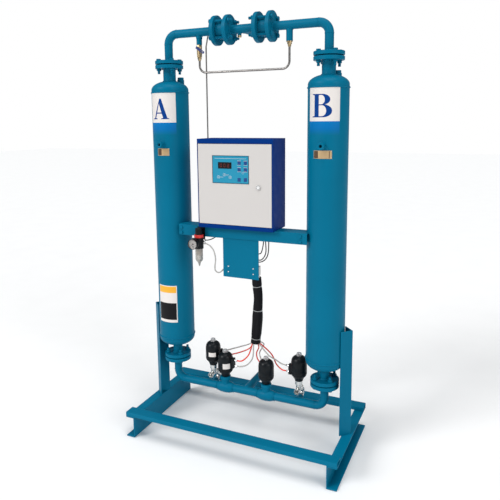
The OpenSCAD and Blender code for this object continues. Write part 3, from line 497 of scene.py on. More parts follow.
CABLES = [
    [(101, -52, 1146), (124, -56, 1160), (139, -60, 1220), (128, -36, 1266), (70, 14, 1286), (64, 20, 1312)],
    [(42, -52, 1137), (74, -40, 1116), (120, -50, 1114), (152, -60, 1158), (150, -56, 1224), (132, -26, 1270),
     (76, 22, 1286), (66, 32, 1312)],
    [(-7, -52, 1137), (30, -38, 1106), (110, -40, 1098), (162, -60, 1142), (170, -58, 1222), (148, -26, 1272),
     (76, 34, 1288), (54, 34, 1312)],
    [(-56, -50, 1160), (-40, -40, 1210), (36, 10, 1278), (52, 20, 1290), (54, 22, 1312)]]
FEED = [(-194, -134, 1221), (-176, -122, 1222), (-162, -100, 1227), (-150, -60, 1240), (-128, 0, 1272),
        (-112, 24, 1292), (-110, 26, 1312)]


def make_cords():
    for i, guide in enumerate(RED):
        flexible(f"tube_red_{i + 1}", guide, TUBE_R, red_tube, "red_tube", "tubes_red")
    for i, guide in enumerate(CLEAR):
        flexible(f"tube_clear_{i + 1}", guide, TUBE_R, grey_tube, "clear_tube", "tubes_clear")
    flexible("supply_tube_run", SUPPLY, TUBE_R, grey_tube, "clear_tube", "supply_tube")
    for i, guide in enumerate(CABLES):
        flexible(f"valve_cable_{i + 1}", guide, CABLE_R, rubber, "black_rubber", "black_lines")
    flexible("air_feed_run", FEED, CABLE_R, rubber, "black_rubber", "black_lines")


def make_sleeve():
    """Soft sleeve round the eight tubes, drawn in at its three ties and wider lower down."""
    line = smooth_line(SLEEVE, 14)
    ties = (0.20, 0.59, 0.955)  # shares of the way down
    top_r, widening, pinch, pinch_width = 26.6, 3.4, 2.8, 0.022

    def radius(t, a):
        q = top_r + 0.6 * sin(t * 11) + widening * min(1, max(0, (t - 0.45) / 0.25))
        for at in ties:
            q -= pinch * exp(-((t - at) / pinch_width) ** 2)
        crease = sin(a * 5 + t * 3) + 0.6 * sin(a * 9 - t * 7)
        return q + 0.75 * crease + 0.35 * noise.noise(Vector((cos(a) * 2, sin(a) * 2, t * 16)))

    b = Build()
    b.tube(line, radius, 72)
    sleeve = b.done("hose_sleeve", sleeve_skin, "black_rubber", replaces="hose_wrap", sharp=70)
    ties_piece = Build()
    for at in ties:
        i = round(at * (len(line) - 1))
        p, d = line[i], (line[i + 1] - line[i - 1]).normalized()
        ring = [along(p, d) @ Vector(c) for c in circle(24.6 if at < 0.4 else 27.4, 0, 48)]
        ties_piece.tube(ring, 1.8, 8, loop=True)
        ties_piece.box((-4, 24, -3.5), (4, 30, 3.5), along(p, d, 160))
    ties_ob = ties_piece.done("sleeve_ties", grey, "grey_plastic")


# ---------- shared shapes ----------
def on_pipe(x, z, way=1):
    """A frame on a main pipe's axis that looks along it, to the right or with -1 to the left."""
    return along((x, MID_Y, z), (way, 0, 0))


def rearward(x, z, y=MID_Y):
    return along((x, y, z), (0, 1, 0))


def weld(b, m, radius, r):
    """A rippled bead of radius r round the frame's Z."""
    waves = max(10, int(radius * 1.1))
    b.tube(circle(radius, 0, waves * 4), lambda t, a: r * (1 + 0.13 * sin(tau * waves * t)), 8, m, loop=True)


def seam(b, p, q, r=2.6):
    """A straight weld."""
    p, q = Vector(p), Vector(q)
    n = max(6, int((q - p).length / 1.2))
    b.tube([p.lerp(q, k / n) for k in range(n + 1)], lambda t, a: r * (1 + 0.15 * sin(t * n * 1.6)), 8)


def saddle(b, m, big, small, r):
    """A weld where a branch along the frame's Z leaves a pipe along its X."""
    pts = [(x, y, sqrt(max(big * big - y * y, 0))) for x, y in round_points(small, 96)]
    b.tube(pts, lambda t, a: r * (1 + 0.12 * sin(t * 40 * tau)), 8, m, loop=True)


def cornered(points, bend, steps):
    """The points with each corner rounded to a bend."""
    pts = [Vector(p) for p in points]
    out = [pts[0]]
    for a, c, d in zip(pts, pts[1:], pts[2:]):
        u, v = (a - c).normalized(), (d - c).normalized()
        half = u.angle(v) / 2
        reach = bend / tan(half)
        centre = c + (u + v).normalized() * (bend / sin(half))
        start, end = c + u * reach, c + v * reach
        u, v = start - centre, end - centre
        turn = u.angle(v)
        for k in range(steps + 1):
            t = k / steps
            out.append(centre + (u * sin((1 - t) * turn) + v * sin(t * turn)) / sin(turn))
    return out + [pts[-1]]


def flange_profile(t=20):
    """A flange of thickness t from its back up to its raised face."""
    edge, face = 1.5, 2
    return [(0, 0), (35, 0), (FLANGE_R - edge, 0), (FLANGE_R, edge), (FLANGE_R, t - edge),
            (FLANGE_R - edge, t), (FACE_R, t), (FACE_R, t + face), (0, t + face)]


# ---------- skid ----------
def make_skid():
    for name in ("beam_left", "beam_right"):
        softened(name, 3.2, teal, segments=3, split=True)
    softened("rails", 3.0, teal, segments=3)
    for name in ("upright_left", "upright_right"):
        softened(name, 2.2, teal)
    b = Build()
    for s in (-1, 1):
        for y0, y1 in ((-334, -278), (278, 334)):
            seam(b, (s * 601.5, y0, 131), (s * 601.5, y1, 131))
        foot = Vector((s * 644, MID_Y, 133))
        for d in (-1, 1):
            way = Vector((-s, d, 0)).normalized()
            out = Vector((s, d, 0)).normalized() * 1.5
            seam(b, foot + way * 4 + out, foot + way * 14 + out, 2.4)
    b.done("skid_welds", teal, sharp=80)


# ---------- towers ----------
def tower_shell(s, name):
    """Tower with its heads, necks, flanges, couplings and welds, and the lug that holds the crossbar."""
    b, m = Build(), place(s * TOWER_X, MID_Y)
    head_low, head_high, head_rise = 551, 2082, 55
    pts = [(0, 421), (FACE_R, 421), (FACE_R, 423), (80.5, 423), (FLANGE_R, 424.5), (FLANGE_R, 441.5),
           (80.5, 443), (35, 443), (29, 449), (29, 498)]
    pts += arc(0, head_low, TOWER_R, -head_rise, 74.6, 0, 26)
    pts += arc(0, head_high, TOWER_R, head_rise, 0, 70, 26)
    pts += [(37, 2135), (37, 2199), (43, 2206), (80.5, 2206), (FLANGE_R, 2207.5), (FLANGE_R, 2224.5),
            (80.5, 2226), (FACE_R, 2226), (FACE_R, 2228), (0, 2228)]
    b.lathe(pts, m, 144)
    for z, radius, r in ((566, TOWER_R + 0.2, 3.8), (2067, TOWER_R + 0.2, 3.8), (498, 30, 3.6),
                         (2134, 38, 3.6), (445, 31, 3.2), (2204, 39, 3.2)):
        weld(b, m @ place(z=z), radius, r)
    # open half coupling on the front, with its thread inside
    front = along((s * TOWER_X, -95, 1766), (0, -1, 0))
    bore = [(9.5 - (0.9 if k % 2 else 0), 41 - k * 0.9) for k in range(1, 34)]
    b.lathe([(0, 0), (17, 0), (19, 1), (19, 40), (17.8, 41.5), (11, 41.5)] + bore + [(8.6, 5), (0, 5)], front)
    weld(b, front @ place(z=10.5), 20, 2.8)
    # filling coupling on the head
    fill = place(s * TOWER_X + 26, 88)
    b.lathe([(0, 2085), (21, 2085), (21, 2145.5), (19.5, 2147), (0, 2147)], fill)
    weld(b, fill @ place(z=2104, turn=(-20, 0, 0)), 22, 3.2)
    b.done(name + "_shell", teal, replaces=name, sharp=42)
    # angle lug: an arm from the tower and a plate behind the crossbar
    arm, plate = (-388, -388) if s < 0 else (380, 338)
    b = Build()
    b.box((arm, -95, 1238), (arm + 8, -20, 1290))
    b.box((plate, -95, 1238), (plate + 50, -87, 1290))
    b.done(name + "_lug", teal, bevel=1.2)


def wrap(b, m, a0, a1, z0, z1, r0, r1, mat=0, step=2):
    """A closed patch on a round wall between two angles, two heights and two radii."""
    n = max(2, round((a1 - a0) / step))
    inner, outer = (arc(0, 0, r, r, a0, a1, n) for r in (r0, r1))
    b.skin([[(*p, z0), (*q, z0), (*q, z1), (*p, z1)] for p, q in zip(inner, outer)], m, mat)


# outline and holes of each letter in a unit square
LETTER_A = [[(0, 0), (0.32, 0), (0.32, 0.035), (0.215, 0.055), (0.285, 0.27), (0.60, 0.27), (0.675, 0.055),
             (0.56, 0.035), (0.56, 0), (1, 0), (1, 0.035), (0.905, 0.055), (0.575, 1), (0.475, 1),
             (0.125, 0.055), (0, 0.035)],
            [(0.305, 0.325), (0.58, 0.325), (0.44, 0.77)]]
LETTER_B = [[(0, 0)] + arc(0.56, 0.275, 0.42, 0.275, -90, 74) + arc(0.52, 0.765, 0.37, 0.235, -74, 90)
            + [(0, 1), (0, 0.965), (0.12, 0.945), (0.12, 0.055), (0, 0.035)],
            [(0.35, 0.045)] + arc(0.50, 0.28, 0.21, 0.235, -90, 90) + [(0.35, 0.515)],
            [(0.35, 0.555)] + arc(0.47, 0.755, 0.17, 0.2, -90, 90) + [(0.35, 0.955)]]


def letter(s, outlines, a0, a1, z0, z1, name):
    """A plain designation letter wrapped round the tower, cut into strips so that it bends."""
    strips = 48
    rings = [[Vector((x, z, 0)) for x, z in ring] for ring in outlines]
    flat = [p for ring in rings for p in ring]
    bm = bmesh.new()
    verts = [bm.verts.new(p) for p in flat]
    for t in tessellate_polygon(rings):
        bm.faces.new([verts[i] for i in t])
    for k in range(1, strips):
        whole = bm.verts[:] + bm.edges[:] + bm.faces[:]
        bmesh.ops.bisect_plane(bm, geom=whole, plane_co=(k / strips, 0, 0), plane_no=(1, 0, 0))
    bm.verts.index_update()
    top = [(v.co.x, v.co.y) for v in bm.verts]
    faces = [[v.index for v in f.verts] for f in bm.faces]
    edges = [tuple(v.index for v in e.verts) for e in bm.edges if e.is_boundary]
    bm.free()
    b = Build()
    n = len(top)
    for r in (TOWER_R + 0.7, TOWER_R + 0.35):
        for x, z in top:
            a = radians(a0 + (a1 - a0) * x)
            b.v.append(Vector((s * TOWER_X + r * cos(a), MID_Y + r * sin(a), z0 + (z1 - z0) * z)))
    for f in faces:
        b.face(f, 0)
        b.face([i + n for i in f], 0)
    for i, j in edges:
        b.face((i, j, j + n, i + n), 0)
    b.done(name, navy, "blue_paint", sharp=50)


def make_stickers():
    r, sticker, sticker_foot = TOWER_R, (-134, -42), 1893
    for s, name, outline in ((-1, "a", LETTER_A), (1, "b", LETTER_B)):
        m = place(s * TOWER_X, MID_Y)
        b = Build()
        wrap(b, m, *sticker, sticker_foot, 2064, r - 0.3, r + 0.4)
        b.done(f"sticker_{name}", white, "cream_paint")
        b = Build()
        wrap(b, m, *sticker, 1823, sticker_foot, r - 0.3, r + 0.3)
        b.done(f"sticker_band_{name}", band, "blue_paint")
        letter(s, outline, -121, -63, 1913, 2031, f"letter_{name}")
        # blank nameplate with a dark field and four rivets
        b = Build()
        start, stop = (-105, -66) if s < 0 else (-115, -63)
        wrap(b, m, start, stop, 1701, 1743, r - 0.2, r + 1.4)
        wrap(b, m, start + 1.2, start + 14, 1703, 1741, r + 1.2, r + 1.6, 1)
        if s > 0:
            wrap(b, m, -71, -69, 1704, 1740, r + 1.2, r + 1.6, 1)
        for a in (start + 1, stop - 1):
            out = Vector((cos(radians(a)), sin(radians(a)), 0))
            for z in (1704.5, 1739.5):
                rivet = along(Vector((s * TOWER_X, MID_Y, z)) + out * (r + 1.2), out)
                b.lathe([(0, 0), (1.8, 0), (1.8, 0.5), (1.2, 1.0), (0, 1.1)], rivet, 16, 2)
        b.done(f"nameplate_{name}", [gold, brown, zinc], "brass_metal", replaces="nameplates")
    # low label on tower A as plain blocks of colour
    b, m = Build(), place(-TOWER_X, MID_Y)
    wrap(b, m, -123, -56, 673, 907, r - 0.3, r + 0.4)
    wrap(b, m, -121.5, -58.5, 862, 902, r + 0.2, r + 0.6, 1)
    wrap(b, m, -121.5, -58.5, 690, 797, r + 0.2, r + 0.6, 2)
    wrap(b, m, -121, -59, 907, 920, r - 0.3, r + 0.3, 3)
    b.done("colour_label", [white, yellow, ink, band], "cream_paint")


def make_bolts():
    """Flange bolts; each nut has stopped at an angle of its own."""
    b = Build()
    for s in (-1, 1):
        for a in range(45, 360, 90):
            x = s * TOWER_X + BOLT_RING_R * cos(radians(a))
            y = MID_Y + BOLT_RING_R * sin(radians(a))
            for z in (2229, 420):  # where the flanges meet
                m = place(x, y, z, (180 if z < 1000 else 0, 0, 0))
                b.rod(13.6, 22, 24.6, m, 32)
                b.hexagon(24, 8.4, m @ place(z=24.6, turn=(0, 0, a * 7 % 60)))
                b.rod(13.6, -25.4, -22.5, m, 32)
                b.hexagon(24, 10.6, m @ place(z=-36, turn=(0, 0, a * 11 % 60)))
                b.thread(8, 18, m @ place(z=-53.5))
                b.rod(8, -24, 24, m, 20)
    b.done("joint_bolts", teal, replaces="flange_bolts", sharp=34)
    b = Build()
    for s in (-1, 1):
        for a in range(45, 360, 90):
            y = MID_Y + BOLT_RING_R * cos(radians(a))
            z = TOP_Z + BOLT_RING_R * sin(radians(a))
            m = along((s * 50, y, z), (s, 0, 0))
            b.thread(8, 130, m)
            for at in (15, 128):
                b.hexagon(24, 13, m @ place(z=at, turn=(0, 0, a * (at % 7) % 60)))
    b.done("check_valve_studs", teal, replaces="check_studs", sharp=34)


def make_top_pipes():
    down = (180, 0, 0)
    for s, name, stub_x, low in zip((-1, 1), ("top_pipe_left", "top_pipe_right"), STUB_X, (2364, 2318)):
        b, x = Build(), s * TOWER_X
        b.lathe(flange_profile(), place(x, MID_Y, 2252, down), 96)
        bend = cornered([(x, MID_Y, 2240), (x, MID_Y, TOP_Z), (s * 158, MID_Y, TOP_Z)], 57, 20)
        b.tube(bend, PIPE_R, 64)
        b.lathe(flange_profile(22), on_pipe(s * CHECK_X, TOP_Z, -s), 96)
        weld(b, place(x, MID_Y, 2253), 25, 3.6)
        weld(b, place(x, MID_Y, 2344), 23.4, 2.2)
        weld(b, on_pipe(s * 430, TOP_Z), 23.4, 2.2)
        weld(b, on_pipe(s * (CHECK_X + 1), TOP_Z), 25, 3.6)
        b.lathe([(0, low), (16.8, low), (18, low + 1.2), (18, 2395), (0, 2395)], place(stub_x, MID_Y), 48)
        saddle(b, place(stub_x, MID_Y, TOP_Z, down), PIPE_R, 18.5, 2.6)
        b.done(name + "_run", teal, replaces=name, sharp=42)
    # middle pipe with the outlet to the rear and the plug's boss below
    b = Build()
    b.tube([(-90, MID_Y, TOP_Z), (90, MID_Y, TOP_Z)], PIPE_R, 64)
    for s in (-1, 1):
        b.lathe(flange_profile(22), on_pipe(s * 78, TOP_Z, s), 96)
        weld(b, on_pipe(s * 77, TOP_Z), 25, 3.6)
    rear = rearward(0, TOP_Z)
    b.rod(23, 12, 130, rear, 64)
    thread = [(22.4 - (1.1 if k % 2 else 0), 164 - k * 1.15) for k in range(1, 24)]
    b.lathe([(0, 123), (28.5, 123), (30, 124.5), (30, 163.5), (28.5, 165), (23.5, 165)] + thread
            + [(20.5, 137), (0, 137)], rear, 64)
    weld(b, rear @ place(z=122), 25, 3.2)
    saddle(b, rear, PIPE_R, 23, 3.0)
    b.lathe([(0, 2367), (10, 2367), (11, 2368), (11, 2396), (0, 2396)], place(PLUG_X, MID_Y), 32)
    saddle(b, place(PLUG_X, MID_Y, TOP_Z, down), PIPE_R, 11.5, 2.2)
    b.done("centre_pipe_run", teal, replaces="centre_pipe", sharp=42)


def make_check_springs():
    """The check valves' coil springs, at one fixed length; they are not made to shorten as their discs lift.
    """
    turns, per_turn, coil_r, wire_r, start, length = 4, 20, 10, 0.7, 109.4, 27.2
    steps = turns * per_turn
    for s, side in ((-1, "left"), (1, "right")):
        pts = []
        for k in range(steps + 1):
            a = tau * k / per_turn
            x = s * (start + length * k / steps)
            pts.append((x, MID_Y + coil_r * sin(a), TOP_Z + coil_r * cos(a)))
        b = Build()
        b.tube(pts, wire_r, 8)
        coil = b.done(f"check_coil_{side}", steel, "stainless", replaces=f"check_spring_{side}")
        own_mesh(coil)


def make_fill_plugs():
    b = Build()
    for s in (-1, 1):
        m = place(s * TOWER_X + 26, 88)
        b.hexagon(32, 13.6, m @ place(z=2147.4))
        b.rod(14.5, 2140, 2148, m, 32)
    b.done("filling_plugs", teal, replaces="fill_plugs", sharp=34)


def make_purge():
    """Purge tube between the stubs, its ball valve and fittings, and the line to the regulator."""
    b, run_z, (x0, x1) = Build(), 2175, STUB_X
    run = [(x0, MID_Y, 2242), (x0, MID_Y, run_z), (x1, MID_Y, run_z), (x1, MID_Y, 2289)]
    b.tube(cornered(run, 40, 16), 6, 24)
    b.done("purge_tube_run", steel, "stainless", replaces="purge_tube")
    b = Build()
    line = cornered([(-233, 30, 1688), (-251, 30, 1700), (-251, 30, 2320), (-232, 21.5, 2384.5)], 16, 8)
    b.tube(line, 4, 20)
    b.done("pressure_line_run", steel, "stainless", replaces="pressure_line")
    b = Build()
    left, right, plug = (place(x, MID_Y) for x in (x0, x1, PLUG_X))
    b.lathe([(0, 2312), (15.8, 2312), (17, 2313), (17, 2317), (16, 2318), (0, 2318)], right)
    b.hexagon(22, 12, right @ place(z=2300.2))
    b.lathe([(6.2, 2289), (8.2, 2289), (9, 2290), (9, 2301), (6.2, 2301)], right, 32)
    b.hexagon(20, 12, left @ place(z=2250))
    b.lathe([(6.2, 2242), (7.7, 2242), (8.5, 2243), (8.5, 2251), (6.2, 2251)], left, 32)
    b.hexagon(19, 12, plug @ place(z=2355))
    b.done("purge_line_fittings", brass, "brass_metal", replaces="purge_fittings", sharp=34)
    b = Build()
    b.lathe([(0, 2331), (15, 2331), (16, 2332), (16, 2363), (15, 2364), (0, 2364)], left)
    b.done("purge_nipple", teal, replaces="purge_fittings", sharp=34)
    softened("purge_valve", 0.9, brass)
    softened("purge_handle", 1.2, lever_blue, "purge_lever")


# ---------- crossbar and box ----------
def make_front():
    softened("crossbar", 3.0, teal, segments=3)
    softened("valve_plate", 1.0, teal)
    b = Build()
    for s in (-1, 1):
        for z in (1250, 1280):
            head = along((s * 370, -101, z), (0, -1, 0))
            b.rod(9.6, 0, 1.4, head, 32)
            b.hexagon(17, 5, head @ place(z=1.4, turn=(0, 0, 12 * s + z)))
            back = rearward(s * 370, z, -87)
            b.hexagon(17, 8, back)
            b.thread(5, 12, back)
    b.done("lug_bolts", teal, replaces="bar_screws", sharp=34)
    b = Build()
    for x in (-67, 90):
        for z in (1038, 1070):
            b.lathe([(0, 0), (4.5, 0), (4.5, 1.6), (3.8, 2.6), (2.6, 3), (2.2, 3), (2.2, 1.4), (0, 1.4)],
                    along((x, -95, z), (0, -1, 0)), 32)
    b.done("front_screws", chrome, "stainless", replaces="bar_screws", sharp=34)


def figure_bars(w, h):
    """The seven bars of a display figure as (left, foot, right, head)."""
    mid = h / 2
    return {"a": (1, h - 2, w - 1, h), "g": (1, mid - 1, w - 1, mid + 1), "d": (1, 0, w - 1, 2),
            "f": (0, mid + 0.6, 2, h - 1), "b": (w - 2, mid + 0.6, w, h - 1),
            "e": (0, 1, 2, mid - 0.6), "c": (w - 2, 1, w, mid - 0.6)}


def make_panel_marks():
    """Border, header, display, bars by the keys and plain marks on the door's panel."""
    front, back = -138.9, -138.5
    b = Build()

    def mark(x0, z0, x1, z1, mat, proud=0.0, y1=back):
        b.box((x0, front - proud, z0), (x1, y1, z1), None, mat)

    for x0, z0, x1, z1 in ((-136.5, 1556.5, -134, 1710.5), (84, 1556.5, 86.5, 1710.5),
                           (-134, 1556.5, 84, 1559), (-134, 1708, 84, 1710.5)):
        mark(x0, z0, x1, z1, 0)
    mark(-122, 1694, 70, 1695.2, 1)
    mark(-101, 1638, -17, 1674, 0, -0.1)
    mark(-97, 1642, -21, 1670, 2, 0.2)
    for x in (19, 57):
        for z0, z1 in ((1622.6, 1623.8), (1645.0, 1646.4), (1659.0, 1660.2), (1682.0, 1683.4)):
            mark(x - 1.2, z0, x + 21.2, z1, 1)
    b.tube(upright_ring(5, 50, -138.6, 1617), 0.5, 6, None, 1, loop=True)
    for x, z in ((-99, 1591), (-62, 1604), (-26, 1592)):
        b.tube(upright_ring(7.5, x, -138.6, z), 0.6, 6, None, 1, loop=True)
        upright = place(0, back, z - 2, (90, 0, 0))
        b.prism([(x - 3, 0), (x + 3, 0), (x, 5)], 0, 0.4, upright, 1)
    mark(-91, 1590.4, -70, 1591.6, 1)
    mark(-54, 1603.4, -34, 1604.6, 1)
    for i, lit in enumerate(("abcdef", "abcdef", "abcdeg")):
        x, z = -88 + i * 22, 1647
        for bar, (x0, z0, x1, z1) in figure_bars(11, 18).items():
            if bar in lit:
                mark(x + x0, z + z0, x + x1, z + z1, 3, 0.4, front - 0.1)
    b.done("panel_marks", [ink, white, screen, digit_red], "panel_film", "door")


def make_box():
    softened("box_shell", 1.6, blue)
    softened("box_door", 2.2, cream, "door", segments=3)
    for i in range(1, 7):
        softened(f"key_{i}", 0.5, key_blue, f"button_{i}")
    softened("backplate", 0.6, zinc)
    softened("electronics", 1.2, grey)
    # black strip round the door: painted shade, drawn as the dark line of the gap between door and box
    b = Build()
    for x0, z0, x1, z1 in ((-228.5, 1320.4, -226.4, 1775.6), (219.4, 1320.4, 221.2, 1775.6),
                           (-226.2, 1320.2, 219.2, 1321.6), (-226.2, 1774.4, 219.2, 1775.8)):
        b.box((x0, -120.8, z0), (x1, -119.6, z1))
    b.done("door_gap_painted_shade", rubber, "black_rubber", "door")
    softened("panel", 0.5, panel_blue, "door")
    make_panel_marks()
    # lock face with its key slot; its chrome is darkened with painted dark reflection
    b, m = Build(), along((143, -137, 1540), (0, -1, 0))
    b.lathe([(0, 0.3), (13, 0.3), (13, 4.2), (11.4, 6), (9.6, 6), (9.2, 5.2), (0, 5.2)], m)
    b.box((-1.2, -5, 5.3), (1.2, 5, 5.5), m, 1)
    b.rod(2.6, 5.1, 5.5, m, 20, 1)
    b.done("lock_face", [chrome_painted_dark_reflection, ink], "chrome_metal", "lock", sharp=34)


# ---------- filter regulator ----------
def make_regulator():
    softened("regulator_body", 0.9, black)
    b, m = Build(), place(REG_X, REG_Y)
    b.lathe([(0, 1234.5), (25.6, 1234.5), (27, 1236), (27, 1250), (25.8, 1251.4), (0, 1251.4)], m, 72)
    b.done("lock_ring", knob_red, "red_tube", "regulator_cap", replaces="regulator_knob")
    # cap with grip flutes
    b, rings, flutes, depth = Build(), [], 24, 0.9
    turns = [radians(3 * k) for k in range(120)]
    for z, r in ((1251, 20.6), (1254, 21), (1286, 20.4), (1289, 18.6), (1290, 15)):
        radii = [r - (depth if r > 20 else 0) * (0.5 + 0.5 * cos(flutes * a)) for a in turns]
        rings.append([(q * cos(a), q * sin(a), z) for a, q in zip(turns, radii)])
    b.skin(rings, m)
    b.done("adjusting_cap", black, "black_plastic", "regulator_cap", replaces="regulator_knob")
    b = Build()
    b.lathe([(0, 1070), (3.4, 1064), (5, 1072), (9, 1086), (19, 1098), (22, 1106), (22, 1168), (24.4, 1169),
             (24.4, 1171), (0, 1171)], m, 64)
    b.done("bowl", bowl_clear, "clear_plastic", replaces="filter_bowl")
    b = Build()
    pleats = [(12.6 if k % 2 else 11.6, 1132 + k * 1.5) for k in range(24)]
    b.lathe([(0, 1130), (11, 1130), (12, 1131)] + pleats + [(0, 1169)], m)
    b.done("filter_element", amber, "brass_metal")
    b = Build()
    for x, y in round_points(21.6, 8):
        b.tube([(REG_X + x, REG_Y + y, z) for z in (1106, 1168)], 0.9, 8)
    b.done("bowl_ribs", bowl_clear, "clear_plastic")
    # nickel fittings beside the ring
    b = Build()
    for x, z, d in ((-266, 1222, -1), (-206, 1221, 1), (-206, 1203, 1)):
        f = along((x, REG_Y, z), (d, 0, 0))
        b.hexagon(13, 7, f @ place(z=-1))
        b.lathe([(3.4, 6), (6.2, 6), (6.2, 10.5), (5.4, 11.8), (3.4, 11.8)], f, 32)
    b.done("regulator_fittings", chrome, "chrome_metal", sharp=34)
    make_gauge()


def make_gauge():
    """Pressure gauge that faces the front: case, dial with 41 marks and lens."""
    g = rearward(GAUGE_X, GAUGE_Z, GAUGE_Y)
    b = Build()
    b.lathe([(27.6, 9), (27.6, 2.2), (28.4, 0.3), (29.4, 0), (30, 1), (30, 23.5), (28.5, 25), (20, 25),
             (20, 9.7), (27.6, 9)], g, 72, caps=False)
    b.lathe([(0, 24.6), (20.2, 24.6), (20.2, 25), (8, 25), (8, 31), (0, 31)], g)
    b.tube([(GAUGE_X, -178, GAUGE_Z), (REG_X, -160, GAUGE_Z)], 5.5, 24)
    b.done("gauge_case", black, "black_plastic", replaces="pressure_gauge", sharp=34)
    b = Build()
    b.rod(27.7, 8.9, 9.6, g, 64)
    intervals, first, sweep = 40, 225, 270
    for k in range(intervals + 1):
        a = radians(first - sweep * k / intervals)
        c, d = cos(a), sin(a)
        start, half = (19.5, 0.45) if k % 5 == 0 else (21.8, 0.25)
        outward = Matrix(((c, -d, 0), (0, 0, -1), (d, c, 0))).to_4x4()
        outward.translation = (GAUGE_X, -192.2, GAUGE_Z)
        b.box((start, -half, 0), (24.4, half, 0.35), outward, 1)
    b.rod(3.4, 8.6, 9, g, 24, 1)
    b.box((-250, -192.4, 1188), (-236, -192.1, 1192), None, 1)
    b.done("gauge_dial", [white, ink], "cream_paint")
    b = Build()
    b.rod(27.7, 1.2, 2.4, g, 64)
    b.done("gauge_lens", glass, "clear_plastic")


# ---------- solenoid valves ----------
def make_solenoids():
    """Bank of four valves behind the plate with its coils, nuts and fittings."""
    bodies, coils, nuts = Build(), Build(), Build()
    bodies.box((-84, -92, 1027), (120, -58, 1082))
    for k in range(COILS):
        x = COIL_X + COIL_PITCH * k
        bodies.box((x, -92, 1081), (x + 40, -62, 1130))
        coils.box((x + 6, -90, 1129), (x + 34, -62, 1163))
        coils.box((x + 10, -63, 1136), (x + 30, -46, 1160))
        nuts.lathe([(0, 1160), (7, 1160), (7, 1164.4), (5.6, 1165.8), (0, 1166)], place(x + 20, -76), 32)
        nuts.box((x + 15, -62.4, 1100), (x + 25, -61.4, 1120))
    bodies.done("valve_bank", zinc, "zinc_sheet", replaces="solenoid_bank", bevel=1.4)
    coils.done("valve_coils", black, "black_plastic", bevel=1.8, segments=3)
    nuts.done("coil_nuts", chrome, "chrome_metal", sharp=34)
    b = Build()
    for x in (80, 91, 102, 113):
        for y in (-82, -69):
            b.lathe([(3.2, 1010), (4.4, 1010), (5, 1011), (5, 1020), (4.5, 1021), (4.5, 1028), (3.2, 1028)],
                    place(x, y), 24)
    b.lathe([(4.1, 0), (5.4, 0), (6, 1), (6, 15), (4.1, 15)], along((-98, -75, 1054), (1, 0, 0)), 32)
    b.done("bank_fittings", chrome, "chrome_metal", sharp=34)


# ---------- lower valves ----------
def make_manifold_trim():
    """Weld beads and bonnet screws on the lower pipework."""
    b = Build()
    for s in (-1, 1):
        weld(b, on_pipe(s * 430, LOW_Z), 23.6, 2.2)
        weld(b, place(s * TOWER_X, MID_Y, 321), 23.6, 2.2)
        weld(b, place(s * TOWER_X, MID_Y, 396), 25, 3.4)
    for x in VALVE_X:
        for d in (-1, 1):
            weld(b, on_pipe(x + d * 55, LOW_Z), 24.6, 2.8)
        for u, v in round_points(29.2, 6):
            b.hexagon(7, 4, place(x + u, MID_Y + v, 315.4))
    inlet_x = -11
    weld(b, rearward(inlet_x, LOW_Z, 287), 25.5, 3.2)
    saddle(b, rearward(inlet_x, LOW_Z), 24.2, 23.6, 3.2)
    for x in EXHAUST_X:
        saddle(b, rearward(x, LOW_Z), 24.2, 18.2, 2.6)
    b.done("manifold_trim", teal, sharp=42)


# outer wall of an actuator's case from its foot up, with the joint line of its two halves
ACT_OUTSIDE = [(6, 0), (23, 0), (24, 1), (25.5, 8), (29, 16), (33.6, 24), (41, 32), (45, 38), (ACT_R, 46),
               (ACT_R, 58), (46.4, 59), (46.4, 61), (ACT_R, 62), (ACT_R, 112), (46.3, 120), (44, 131),
               (40, 139.5), (34.6, 145.5), (28, 150), (22, 153.2), (19, 154.8), (12.6, 155), (12.4, 150)]
ACT_INSIDE = [(12.4, 146), (41, 137), (41, 40), (6, 39), (6, 0)]


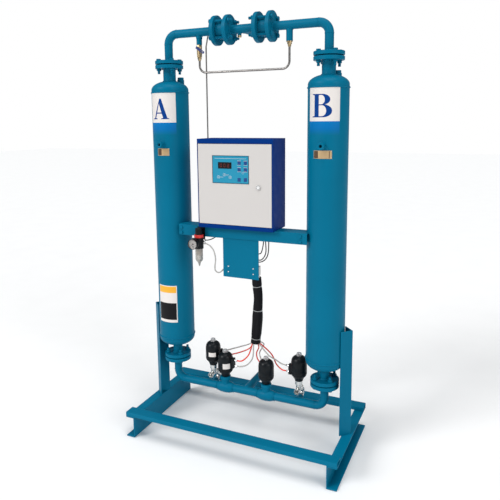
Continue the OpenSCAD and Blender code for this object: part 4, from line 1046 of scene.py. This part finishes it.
def make_actuators():
    """The four air actuators: case, port block, clear cap and the indicator that rises in it."""
    for i, (x, y, z, turn, lo, hi) in enumerate(ACTUATORS):
        m = place(x, y, z)
        b = Build()
        b.lathe(ACT_OUTSIDE + ACT_INSIDE, m, 96, caps=False)
        t = m @ place(turn=(0, 0, turn))
        b.box((42.5, -14, lo - 12), (62, 14, hi + 12), t)
        for k in range(4):
            a = radians(turn + 45 + 90 * k)
            screw = m @ place(31 * cos(a), 31 * sin(a))
            b.lathe([(0, 22), (4, 22), (4.4, 24), (4.4, 33), (0, 33)], screw, 20)
        b.done(f"actuator_{i + 1}", black, "black_plastic", replaces="actuators", sharp=36)
        b = Build()
        for h in (lo, hi):
            f = t @ place(60, 0, h, (0, 90, 0))
            b.hexagon(12, 6, f @ place(z=1))
            b.lathe([(3.2, 6), (5.5, 6), (5.5, 15), (6.4, 16), (6.4, 18.6), (5, 20), (3.2, 20)], f, 24)
        b.done(f"actuator_fittings_{i + 1}", chrome, "chrome_metal", sharp=34)
        b = Build()
        b.lathe([(0, 172), (9, 171.8), (13.4, 170.8), (15.4, 168), (16, 164), (16, 154.6), (14.4, 154.6),
                 (14.4, 164), (13.6, 167.6), (12, 169.4), (9, 170.2), (0, 170.4)], m)
        for k, (u, v) in enumerate(round_points(16, 12)):
            b.box((-0.8, -0.6, 155), (0.8, 0.6, 164), m @ place(u, v, 0, (0, 0, 30 * k)))
        b.done(f"actuator_cap_{i + 1}", clear_cap, "clear_plastic")
        b = Build()
        b.lathe([(0, 145.4), (9.3, 145.4), (9.3, 153.6), (8.6, 154.3), (0, 154.3)], m, 32)
        b.done(f"indicator_{i + 1}", dull_red, "red_tube", f"valve_stem_{i + 1}")
        if i < 2:
            start, foot, head = ((-100, 66, 93), (-85, 61, 95))[i]
            b = Build()
            wrap(b, m, start, start + 57, foot, head, ACT_R - 0.3, ACT_R + 0.4, 0, 3)
            b.done(f"actuator_label_{i + 1}", white, "cream_paint")


def make_exhausts():
    """Nut, nipple and yoke on each exhaust valve's steel body, and its welds."""
    b = Build()
    for x in EXHAUST_X:
        f = rearward(x, EXHAUST_Z, -11)
        b.lathe([(10.8, 20), (10.8, 1), (12, 0), (16, 0), (17.1, 1), (17.1, 13), (16, 14), (13.6, 14),
                 (13.6, 75), (10.8, 75), (10.8, 20)], f, 64, caps=False)
        up = place(x, EXHAUST_Y)
        b.lathe([(13, 329), (17.1, 331), (17.1, 362), (21, 362), (22.1, 363), (22.1, 383), (21, 384),
                 (8, 384), (8, 331), (13, 329)], up, 64, caps=False)
        for u, v in round_points(18.6, 4, 0.5):
            b.hexagon(6, 3, up @ place(u, v, 359.2))
        weld(b, rearward(x, EXHAUST_Z, 64), 13.2, 1.6)
        weld(b, rearward(x, LOW_Z, 64), 13.8, 2.0)
    b.done("exhaust_trim", bright_steel, "stainless", sharp=34)


make_cords()
make_sleeve()
make_skid()
for side, name in ((-1, "tower_a"), (1, "tower_b")):
    tower_shell(side, name)
make_check_springs()
make_fill_plugs()
make_stickers()
make_bolts()
make_top_pipes()
make_purge()
make_front()
make_box()
make_regulator()
make_solenoids()
make_manifold_trim()
make_actuators()
make_exhausts()

floor_reach, floor_z = 30, -0.001  # metres
floor_corners = [(x * floor_reach, y * floor_reach, floor_z) for x, y in ((-1, -1), (1, -1), (1, 1), (-1, 1))]
floor_mesh = bpy.data.meshes.new("floor")
floor_mesh.from_pydata(floor_corners, [], [(0, 1, 2, 3)])
floor = add_object("floor", floor_mesh)
floor_mesh.materials.append(surface("floor", (0.94, 0.94, 0.94), 0.7, 0.01))
